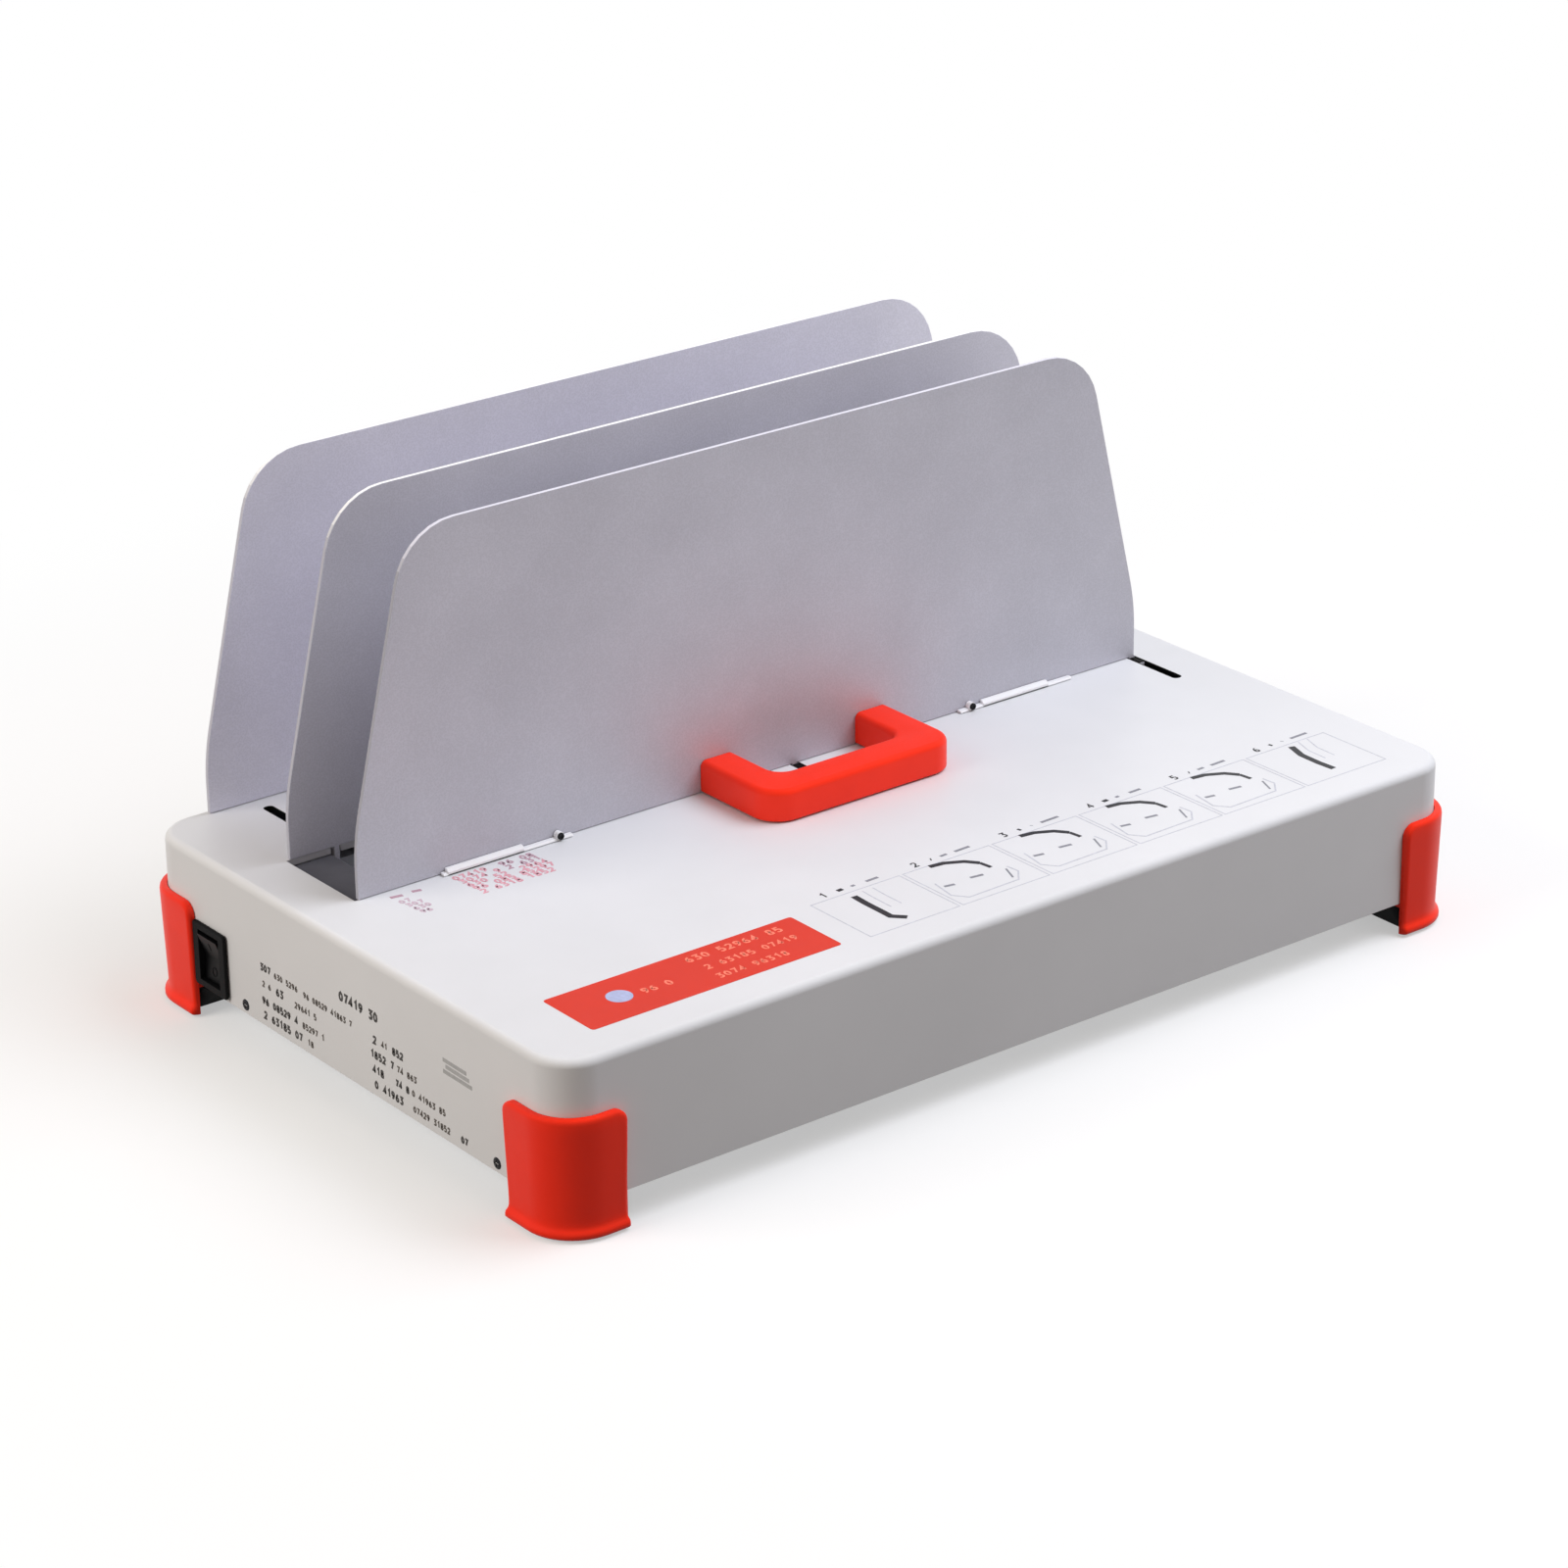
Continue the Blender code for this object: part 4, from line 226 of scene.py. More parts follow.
def shade_of(colour, factor):
    """The colour made lighter or darker by the factor, with full opacity."""
    return (*(min(1, channel * factor) for channel in colour), 1)


def vary_colour(tree, shader, source, low, high):
    """Base colour that follows a pattern between two colours. It returns that colour's socket."""
    sockets = {"Factor": source, MIX_LOW: low, MIX_HIGH: high}
    blend = add_node(tree, "ShaderNodeMix", sockets, data_type="RGBA")
    tree.links.new(blend.outputs[MIX_RESULT], shader.inputs["Base Color"])
    return blend.outputs[MIX_RESULT]


def vary_roughness(tree, shader, source, low, high):
    """Roughness that follows a pattern between two values."""
    ramp = add_node(tree, "ShaderNodeMapRange", {"Value": source, "To Min": low, "To Max": high})
    tree.links.new(ramp.outputs["Result"], shader.inputs["Roughness"])


def emboss(tree, shader, source, depth, strength):
    """Surface relief that follows a pattern, to the given depth."""
    bump = add_node(tree, "ShaderNodeBump", {"Height": source, "Distance": depth, "Strength": strength})
    tree.links.new(bump.outputs["Normal"], shader.inputs["Normal"])


def mottle(tree, shader, place, colour, patch, low, high):
    """Colour that drifts between a darker and a lighter shade over patches of the given size."""
    drift = add_node(
        tree, "ShaderNodeTexNoise", {"Vector": place, "Scale": 1 / patch, "Detail": 3, "Roughness": 0.6}
    )
    ramp = add_node(
        tree, "ShaderNodeMapRange", {"Value": drift.outputs["Fac"], "From Min": 0.3, "From Max": 0.7}
    )
    return vary_colour(tree, shader, ramp.outputs["Result"], shade_of(colour, low), shade_of(colour, high))


def pit(tree, shader, place, width, depth, strength, squash=(1, 1, 1)):
    """Surface relief from pits of the given width and depth, drawn out where squash differs by axis.

    The real ones are mostly under 0.2 mm wide, too fine to show, so they are drawn about 0.5 to 2 mm wide.
    """
    mapped = add_node(tree, "ShaderNodeMapping", {"Vector": place, "Scale": squash})
    grains = add_node(
        tree, "ShaderNodeTexNoise", {"Vector": mapped.outputs["Vector"], "Scale": 1 / width, "Detail": 2}
    )
    emboss(tree, shader, grains.outputs["Fac"], depth, strength)
    return grains


def moulded_abs_white():
    """ABS, injection moulded in a spark-eroded tool: even satin white, softened by a fine pitted grain."""
    colour = tuple(bpy.context.scene.binder_colours.housing)
    material, tree, shader, place = start_material("moulded_abs_white", colour, 0.42)
    mottle(tree, shader, place, colour, 70 * MM, 0.97, 1.02)
    # A real grain of 0.1 mm is too fine to show, so the pits are drawn coarser.
    grain = bpy.context.scene.binder_sizes.grain
    grains = pit(tree, shader, place, grain, 0.05 * MM, 0.35)
    vary_roughness(tree, shader, grains.outputs["Fac"], 0.36, 0.50)
    return material


def moulded_elastomer_orange():
    """Thermoplastic elastomer, moulded smooth: saturated orange with a soft, slightly waxy gloss."""
    colour = tuple(bpy.context.scene.binder_colours.accent)
    material, tree, shader, place = start_material(
        "moulded_elastomer_orange", colour, 0.40, Specular_IOR_Level=0.3
    )
    mottle(tree, shader, place, colour, 25 * MM, 0.93, 1.04)
    grains = pit(tree, shader, place, 0.8 * MM, 0.04 * MM, 0.30)
    vary_roughness(tree, shader, grains.outputs["Fac"], 0.35, 0.49)
    return material


def silver_powder_coat(name, share):
    """Sheet steel, powder coated in silver: flake and orange peel, with a painted highlight on faces that
    look up and painted shade on its side edges. The share lightens or darkens the whole coat as painted
    light.
    """
    colour = shade_of(bpy.context.scene.binder_colours.plate, share)[:3]
    material, tree, shader, place = start_material(name, colour, 0.5, 0.25)
    flat = mottle(tree, shader, place, colour, 45 * MM, 0.95, 1.05)
    # Flake of 0.05 mm is drawn at 0.7 mm to show.
    flake = add_node(tree, "ShaderNodeTexVoronoi", {"Vector": place, "Scale": 1 / (0.7 * MM)})
    lift = add_node(
        tree,
        "ShaderNodeMapRange",
        {"Value": flake.outputs["Distance"], "From Max": 0.8, "To Min": 0.93, "To Max": 1.06},
    )
    flaked = add_node(
        tree, "ShaderNodeVectorMath", {0: flat, "Scale": lift.outputs["Result"]}, operation="SCALE"
    )
    # Faces that look up get a painted highlight, and faces that look sideways get painted shade.
    facing = add_node(tree, "ShaderNodeNewGeometry")
    normal = add_node(tree, "ShaderNodeSeparateXYZ", {"Vector": facing.outputs["True Normal"]})
    across = add_node(tree, "ShaderNodeMath", {0: normal.outputs["X"]}, operation="ABSOLUTE")
    painted_shade_on_side = add_node(
        tree, "ShaderNodeMapRange", {"Value": across.outputs["Value"], "From Min": 0.45, "From Max": 0.85}
    )
    painted_highlight_on_top = add_node(
        tree, "ShaderNodeMapRange", {"Value": normal.outputs["Z"], "From Min": 0.35, "From Max": 0.8}
    )
    # dark is the painted shade on the side edges, and pale is the painted highlight on top.
    dark, pale = shade_of(colour, 0.72), shade_of(colour, 1.5)
    painted_shade_sides = vary_colour(tree, shader, painted_shade_on_side.outputs["Result"], flaked.outputs["Vector"], dark)
    vary_colour(tree, shader, painted_highlight_on_top.outputs["Result"], painted_shade_sides, pale)
    peel = pit(tree, shader, place, 1.6 * MM, 0.03 * MM, 0.35)
    vary_roughness(tree, shader, peel.outputs["Fac"], 0.42, 0.56)
    return material


def painted_shade_sheet_grey():
    """Sheet steel in a dull dark grey that stands for the shade at the trough's ends: painted shade, with a
    fine dry texture of about 1 mm.
    """
    colour = linear("#5B5B62")
    material, tree, shader, place = start_material("painted_shade_sheet_grey", colour, 0.7, Specular_IOR_Level=0.2)
    mottle(tree, shader, place, colour, 14 * MM, 0.9, 1.1)
    pit(tree, shader, place, 1.0 * MM, 0.02 * MM, 0.3)
    return material


def moulded_rubber_black():
    """Rubber, compression moulded: matt black with a dusty bloom and no clear reflection."""
    colour = linear("#080809")
    material, tree, shader, place = start_material(
        "moulded_rubber_black", colour, 0.9, Specular_IOR_Level=0.2
    )
    mottle(tree, shader, place, colour, 9 * MM, 0.8, 1.6)
    pit(tree, shader, place, 0.9 * MM, 0.06 * MM, 0.5)
    return material


def moulded_nylon_black():
    """Glass-filled nylon, moulded: near-black with a fine even texture, as on switches and brackets."""
    colour = linear("#060607")
    material, tree, shader, place = start_material("moulded_nylon_black", colour, 0.6, Specular_IOR_Level=0.1)
    mottle(tree, shader, place, colour, 6 * MM, 0.85, 1.3)
    grains = pit(tree, shader, place, 0.6 * MM, 0.03 * MM, 0.4)
    vary_roughness(tree, shader, grains.outputs["Fac"], 0.50, 0.66)
    return material


def polished_nylon_black():
    """Nylon, moulded in a polished tool: the rocker's face, glossier than its frame."""
    colour = linear("#040405")
    material, tree, shader, place = start_material(
        "polished_nylon_black", colour, 0.42, Specular_IOR_Level=0.12
    )
    mottle(tree, shader, place, colour, 5 * MM, 0.9, 1.2)
    pit(tree, shader, place, 1.4 * MM, 0.01 * MM, 0.3)
    return material


def moulded_nylon_white():
    """Natural nylon, moulded: cold white and faintly translucent, with a low gloss."""
    colour = linear("#F1F1F5")
    material, tree, shader, place = start_material("moulded_nylon_white", colour, 0.32)
    mottle(tree, shader, place, colour, 12 * MM, 0.96, 1.0)
    pit(tree, shader, place, 0.8 * MM, 0.02 * MM, 0.25)
    return material


def moulded_acetal():
    """Acetal, moulded: creamy white, dense and slippery, with faint flow marks."""
    colour = linear("#E9E7DE")
    material, tree, shader, place = start_material("moulded_acetal", colour, 0.34)
    mottle(tree, shader, place, colour, 15 * MM, 0.93, 1.02)
    pit(tree, shader, place, 1.0 * MM, 0.02 * MM, 0.3)
    return material


def zinc_plated_steel():
    """Steel, electroplated with bright zinc: cool silver with a faint yellow-blue drift and fine marks."""
    colour = linear("#C9CBCC")
    material, tree, shader, place = start_material("zinc_plated_steel", colour, 0.34, 1.0)
    drift = add_node(tree, "ShaderNodeTexNoise", {"Vector": place, "Scale": 1 / (6 * MM), "Detail": 2})
    blue, yellow = (*linear("#C6CCD6"), 1), (*linear("#D2CDBC"), 1)
    vary_colour(tree, shader, drift.outputs["Fac"], blue, yellow)
    grains = pit(tree, shader, place, 0.9 * MM, 0.02 * MM, 0.25)
    vary_roughness(tree, shader, grains.outputs["Fac"], 0.26, 0.44)
    return material


def galvanised_sheet():
    """Steel sheet, hot-dip galvanised: spangle crystals about 9 mm across, each with its own brightness."""
    colour = linear("#B9BCBE")
    material, tree, shader, place = start_material("galvanised_sheet", colour, 0.42, 1.0)
    spangle = add_node(tree, "ShaderNodeTexVoronoi", {"Vector": place, "Scale": 1 / (9 * MM)})
    level = add_node(tree, "ShaderNodeSeparateColor", {"Color": spangle.outputs["Color"]})
    vary_roughness(tree, shader, level.outputs["Red"], 0.3, 0.52)
    vary_colour(tree, shader, level.outputs["Green"], shade_of(colour, 0.82), shade_of(colour, 1.12))
    pit(tree, shader, place, 1.2 * MM, 0.02 * MM, 0.2)
    return material


def black_oxide_steel():
    """Steel, blackened in hot oxide: dark grey-brown with an oily sheen."""
    colour = linear("#2A2A2D")
    material, tree, shader, place = start_material("black_oxide_steel", colour, 0.40, 0.9)
    mottle(tree, shader, place, colour, 3 * MM, 0.7, 1.3)
    pit(tree, shader, place, 0.6 * MM, 0.02 * MM, 0.3)
    return material


def ground_steel(name, squash):
    """Steel, centreless ground: bright, with fine grinding lines round the piece."""
    colour = linear("#CFCFCF")
    material, tree, shader, place = start_material(name, colour, 0.22, 1.0)
    mottle(tree, shader, place, colour, 10 * MM, 0.94, 1.03)
    lines = pit(tree, shader, place, 0.5 * MM, 0.008 * MM, 0.4, squash)
    vary_roughness(tree, shader, lines.outputs["Fac"], 0.16, 0.32)
    return material


def linished_aluminium():
    """Aluminium plate, linished along its length: fine straight lines and a soft silver sheen."""
    colour = linear("#D2D3D5")
    material, tree, shader, place = start_material("linished_aluminium", colour, 0.34, 1.0)
    mottle(tree, shader, place, colour, 30 * MM, 0.92, 1.03)
    # Linishing lines 0.1 mm apart are drawn at 0.8 mm.
    lines = pit(tree, shader, place, 0.8 * MM, 0.02 * MM, 0.5, (0.02, 1, 1))
    vary_roughness(tree, shader, lines.outputs["Fac"], 0.24, 0.46)
    return material


def extruded_aluminium():
    """Aluminium, extruded and left bare: die lines along its length, greyer than the plate."""
    colour = linear("#BFC1C4")
    material, tree, shader, place = start_material("extruded_aluminium", colour, 0.52, 0.7)
    mottle(tree, shader, place, colour, 40 * MM, 0.9, 1.04)
    lines = pit(tree, shader, place, 1.1 * MM, 0.02 * MM, 0.5, (0.01, 1, 1))
    vary_roughness(tree, shader, lines.outputs["Fac"], 0.32, 0.5)
    return material


def woven_glass_board():
    """Glass cloth, woven and pressed: straw white with a plain weave of threads 1.2 mm apart."""
    colour = linear("#DDD3B8")
    material, tree, shader, place = start_material("woven_glass_board", colour, 0.9)
    thread = 1.2 * MM
    bands = {"Vector": place, "Scale": WAVE_SCALE / thread}
    warp, weft = (add_node(tree, "ShaderNodeTexWave", bands, bands_direction=way) for way in ("X", "Y"))
    both = {0: warp.outputs["Fac"], 1: weft.outputs["Fac"]}
    weave = add_node(tree, "ShaderNodeMath", both, operation="MULTIPLY").outputs["Value"]
    vary_colour(tree, shader, weave, shade_of(colour, 0.7), shade_of(colour, 1.05))
    emboss(tree, shader, weave, 0.15 * MM, 0.6)
    return material


def vulcanised_silicone_red():
    """Silicone rubber, vulcanised on cloth: brick red with the cloth's fine imprint and a dry sheen."""
    colour = linear("#8E3A28")
    material, tree, shader, place = start_material("vulcanised_silicone_red", colour, 0.6, Sheen_Weight=0.2)
    mottle(tree, shader, place, colour, 20 * MM, 0.85, 1.1)
    imprint = add_node(tree, "ShaderNodeTexChecker", {"Vector": place, "Scale": 1 / (0.9 * MM)})
    emboss(tree, shader, imprint.outputs["Fac"], 0.04 * MM, 0.4)
    return material


def solder_mask_green():
    """Circuit board, screen-coated with solder mask: glossy green over paler tracks about 1.5 mm apart."""
    colour = linear("#1B5A34")
    material, tree, shader, place = start_material("solder_mask_green", colour, 0.3)
    tracks = add_node(
        tree,
        "ShaderNodeTexBrick",
        {
            "Vector": place,
            "Scale": 1.0,
            "Brick Width": 11 * MM,
            "Row Height": 1.6 * MM,
            "Mortar Size": 0.35 * MM,
            "Color1": shade_of(colour, 0.85),
            "Color2": shade_of(colour, 1.1),
            "Mortar": shade_of(colour, 2.0),
        },
    )
    tree.links.new(tracks.outputs["Color"], shader.inputs["Base Color"])
    emboss(tree, shader, tracks.outputs["Fac"], 0.05 * MM, 0.5)
    return material


def moulded_case(name, hex_colour, roughness):
    """Polyester or polyamide, moulded glossy: the plain coloured cases of small components."""
    colour = linear(hex_colour)
    material, tree, shader, place = start_material(name, colour, roughness)
    mottle(tree, shader, place, colour, 8 * MM, 0.9, 1.08)
    pit(tree, shader, place, 0.8 * MM, 0.02 * MM, 0.3)
    return material


def laminated_iron():
    """Transformer iron, stacked from varnished 0.5 mm stampings: dark, with fine pale lines between them."""
    colour = linear("#3A3734")
    material, tree, shader, place = start_material("laminated_iron", colour, 0.45, 0.7)
    # The sheets are drawn 1 mm thick to show.
    bands = {"Vector": place, "Scale": WAVE_SCALE / MM}
    sheets = add_node(tree, "ShaderNodeTexWave", bands, bands_direction="Y")
    vary_colour(tree, shader, sheets.outputs["Fac"], shade_of(colour, 0.6), shade_of(colour, 1.5))
    return material


def extruded_pvc_sleeve():
    """PVC sleeve, extruded: dark grey with a soft gloss and faint lengthwise drag lines."""
    colour = linear("#2B2B2E")
    material, tree, shader, place = start_material("extruded_pvc_sleeve", colour, 0.45)
    mottle(tree, shader, place, colour, 14 * MM, 0.85, 1.25)
    pit(tree, shader, place, 1.0 * MM, 0.02 * MM, 0.3)
    return material


def nickel_plated_brass():
    """Brass, turned and nickel plated: the inlet's pins, pale warm silver."""
    colour = linear("#D8D2C0")
    material, tree, shader, place = start_material("nickel_plated_brass", colour, 0.22, 1.0)
    mottle(tree, shader, place, colour, 4 * MM, 0.9, 1.05)
    pit(tree, shader, place, 0.6 * MM, 0.01 * MM, 0.3)
    return material


def screen_ink(name, hex_colour):
    """Screen ink, printed: opaque and a little matt, with slight thin spots where the mesh lifted."""
    colour = linear(hex_colour)
    material, tree, shader, place = start_material(name, colour, 0.5)
    mottle(tree, shader, place, colour, 1.5 * MM, 0.9, 1.12)
    return material


def calendered_vinyl_orange():
    """Vinyl film, calendered: even orange with a gentle gloss, with the panel's grain showing through."""
    colour = tuple(bpy.context.scene.binder_colours.label)
    material, tree, shader, place = start_material("calendered_vinyl_orange", colour, 0.36)
    mottle(tree, shader, place, colour, 30 * MM, 0.97, 1.03)
    pit(tree, shader, place, 2.2 * MM, 0.02 * MM, 0.3)
    return material


# The materials made so far, by their finish and its settings
MADE = {}


def material_once(make, *settings):
    """The material of this finish, made the first time that it is asked for."""
    key = (make.__name__, *settings)
    if key not in MADE:
        MADE[key] = make(*settings)
    return MADE[key]


# Shapes


# Edges with a sharper angle than this stay crisp, in degrees
SHARP_ANGLE = 35


def refine(node, material, edge=0.0):
    """Gives a CAD node its material and smooth shading, with the given rounding on its edges."""
    obj = frame["nodes"][node]
    obj.material_slots[0].material = material
    mesh = obj.data
    for title in ("sharp_edge", "custom_normal"):
        if title in mesh.attributes:
            mesh.attributes.remove(mesh.attributes[title])
    mesh.shade_smooth()
    weld = obj.modifiers.new("weld", "WELD")
    weld.merge_threshold = 0.005 * MM
    flat = obj.modifiers.new("merge_flat_faces", "DECIMATE")
    flat.decimate_type = "DISSOLVE"
    flat.angle_limit = math.radians(0.6)
    if edge:
        bevel = obj.modifiers.new("rounded_edges", "BEVEL")
        bevel.width = edge
        bevel.segments = 2
        bevel.limit_method = "ANGLE"
        bevel.angle_limit = math.radians(SHARP_ANGLE)
        weighted = obj.modifiers.new("flat_face_normals", "WEIGHTED_NORMAL")
        weighted.keep_sharp = False
        weighted.weight = 80
    else:
        split = obj.modifiers.new("crisp_edges", "EDGE_SPLIT")
        split.split_angle = math.radians(SHARP_ANGLE)
        split.use_edge_sharp = False


def finish_piece(name, shape, material, body, replaced=(), sharp=SHARP_ANGLE):
    """Makes a piece of the collected shape, smooth up to the sharp angle, that rides on its body."""
    mesh = bpy.data.meshes.new(name)
    shape.to_mesh(mesh)
    shape.free()
    mesh.shade_smooth()
    mesh.set_sharp_from_angle(angle=math.radians(sharp))
    mesh.materials.append(material)
    piece = bpy.data.objects.new(name, mesh)
    bpy.context.scene.collection.objects.link(piece)
    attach(piece, body)
    if replaced:
        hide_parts(*replaced)


def join_shape(target, shape, matrix=None):
    """Adds a closed shape to the target, facing outward."""
    if matrix is not None:
        shape.transform(matrix)
    bmesh.ops.recalc_face_normals(shape, faces=shape.faces)
    mesh = bpy.data.meshes.new("shape")
    shape.to_mesh(mesh)
    shape.free()
    target.from_mesh(mesh)
    bpy.data.meshes.remove(mesh)


def extrude(shape, points, sweep):
    """Adds the prism that the flat outline through the points makes when it is swept along a vector."""
    face = shape.faces.new([shape.verts.new(point) for point in points])
    swept = bmesh.ops.extrude_face_region(shape, geom=[face])["geom"]
    moved = [item for item in swept if isinstance(item, bmesh.types.BMVert)]
    bmesh.ops.translate(shape, verts=moved, vec=sweep)


def skin(shape, rings):
    """Joins each closed ring of vertices to the next one."""
    for near, far in zip(rings, rings[1:]):
        for index in range(len(near)):
            following = (index + 1) % len(near)
            shape.faces.new((near[index], far[index], far[following], near[following]))


def close_ends(shape, rings):
    """Closes a skin with a face on its first ring and one on its last."""
    shape.faces.new(rings[0])
    shape.faces.new(list(reversed(rings[-1])))


def rounded_outline(corners, steps=12):
    """The outline through the corners (x, y, radius), with an arc of that radius at each."""
    points = []
    for index, (x, y, radius) in enumerate(corners):
        here = Vector((x, y))
        if not radius:
            points.append((x, y))
            continue
        back = (Vector(corners[index - 1][:2]) - here).normalized()
        ahead = (Vector(corners[(index + 1) % len(corners)][:2]) - here).normalized()
        half = back.angle(ahead) / 2
        centre = here + (back + ahead).normalized() * (radius / math.sin(half))
        start = here + back * (radius / math.tan(half)) - centre
        turn = math.copysign(math.pi - 2 * half, ahead.cross(back))
        for step in range(steps + 1):
            points.append(tuple(centre + Matrix.Rotation(turn * step / steps, 2) @ start))
    return points


def rectangle(low_x, low_y, high_x, high_y, radius=0.0):
    """The outline of a rectangle, with its corners rounded."""
    corners = ((low_x, low_y), (high_x, low_y), (high_x, high_y), (low_x, high_y))
    return rounded_outline([(x, y, radius) for x, y in corners], steps=4)


def oval(x, y, radius_x, radius_y, sides):
    """The outline of an oval or a circle round x and y."""
    turns = [math.tau * side / sides for side in range(sides)]
    return [(x + radius_x * math.cos(turn), y + radius_y * math.sin(turn)) for turn in turns]


def level_edges(shape, height):
    """The edges that lie at this height."""
    return [item for item in shape.edges if all(abs(vert.co.z - height) < SAME for vert in item.verts)]


def slab(target, outline, low, high, matrix=None, edge=0.0, segments=3):
    """An outline in X and Y between two heights, with the rounding on its top rim."""
    shape = bmesh.new()
    extrude(shape, [(x, y, low) for x, y in outline], (0, 0, high - low))
    if edge:
        rim = level_edges(shape, high)
        bmesh.ops.bevel(shape, geom=rim, offset=edge, segments=segments, profile=0.5, affect="EDGES")
    join_shape(target, shape, matrix)


def turned(target, profile, steps, matrix=None):
    """A body of revolution round Z from (radius, height) points."""
    shape = bmesh.new()
    verts = [shape.verts.new((radius, 0, height)) for radius, height in profile]
    edges = [shape.edges.new(pair) for pair in zip(verts, verts[1:])]
    bmesh.ops.spin(
        shape, geom=verts + edges, cent=(0, 0, 0), axis=(0, 0, 1), angle=math.tau, steps=steps, use_merge=True
    )
    bmesh.ops.remove_doubles(shape, verts=shape.verts, dist=SAME)
    join_shape(target, shape, matrix)


def printed_line(target, points, width, height, place):
    """A printed stroke along the points, as a thin raised ribbon with square ends.

    The points are (u, v), and place turns u, v and the height above the surface into a point of the frame.
    """
    route = [Vector(point) for point in points]
    left, right = [], []
    for index, point in enumerate(route):
        before = route[max(0, index - 1)]
        after = route[min(len(route) - 1, index + 1)]
        way_in = (point - before).normalized() if index else (after - point).normalized()
        way_out = (after - point).normalized() if index < len(route) - 1 else way_in
        along = (way_in + way_out).normalized()
        side = Vector((-along.y, along.x))
        reach = width / 2 / max(0.4, along.dot(way_in))
        left.append(point + side * reach)
        right.append(point - side * reach)
    shape = bmesh.new()
    rings = []
    for near, far in zip(left, right):
        section = ((near, 0), (near, height), (far, height), (far, 0))
        rings.append([shape.verts.new(place(u, v, w)) for (u, v), w in section])
    skin(shape, rings)
    close_ends(shape, rings)
    join_shape(target, shape)


def frame_lines(target, low, high, width, height, place):
    """A printed rectangle of four strokes."""
    (x0, y0), (x1, y1) = low, high
    half = width / 2
    for start, end in (
        ((x0 - half, y0), (x1 + half, y0)),
        ((x0 - half, y1), (x1 + half, y1)),
        ((x0, y0 + half), (x0, y1 - half)),
        ((x1, y0 + half), (x1, y1 - half)),
    ):
        printed_line(target, [start, end], width, height, place)


# Housing


# Places along X of the front and middle plates' ears, which reach down through the panel's slots
FRONT_EARS, MIDDLE_EARS = (0.012, 0.1764), (-0.158, 0.158)


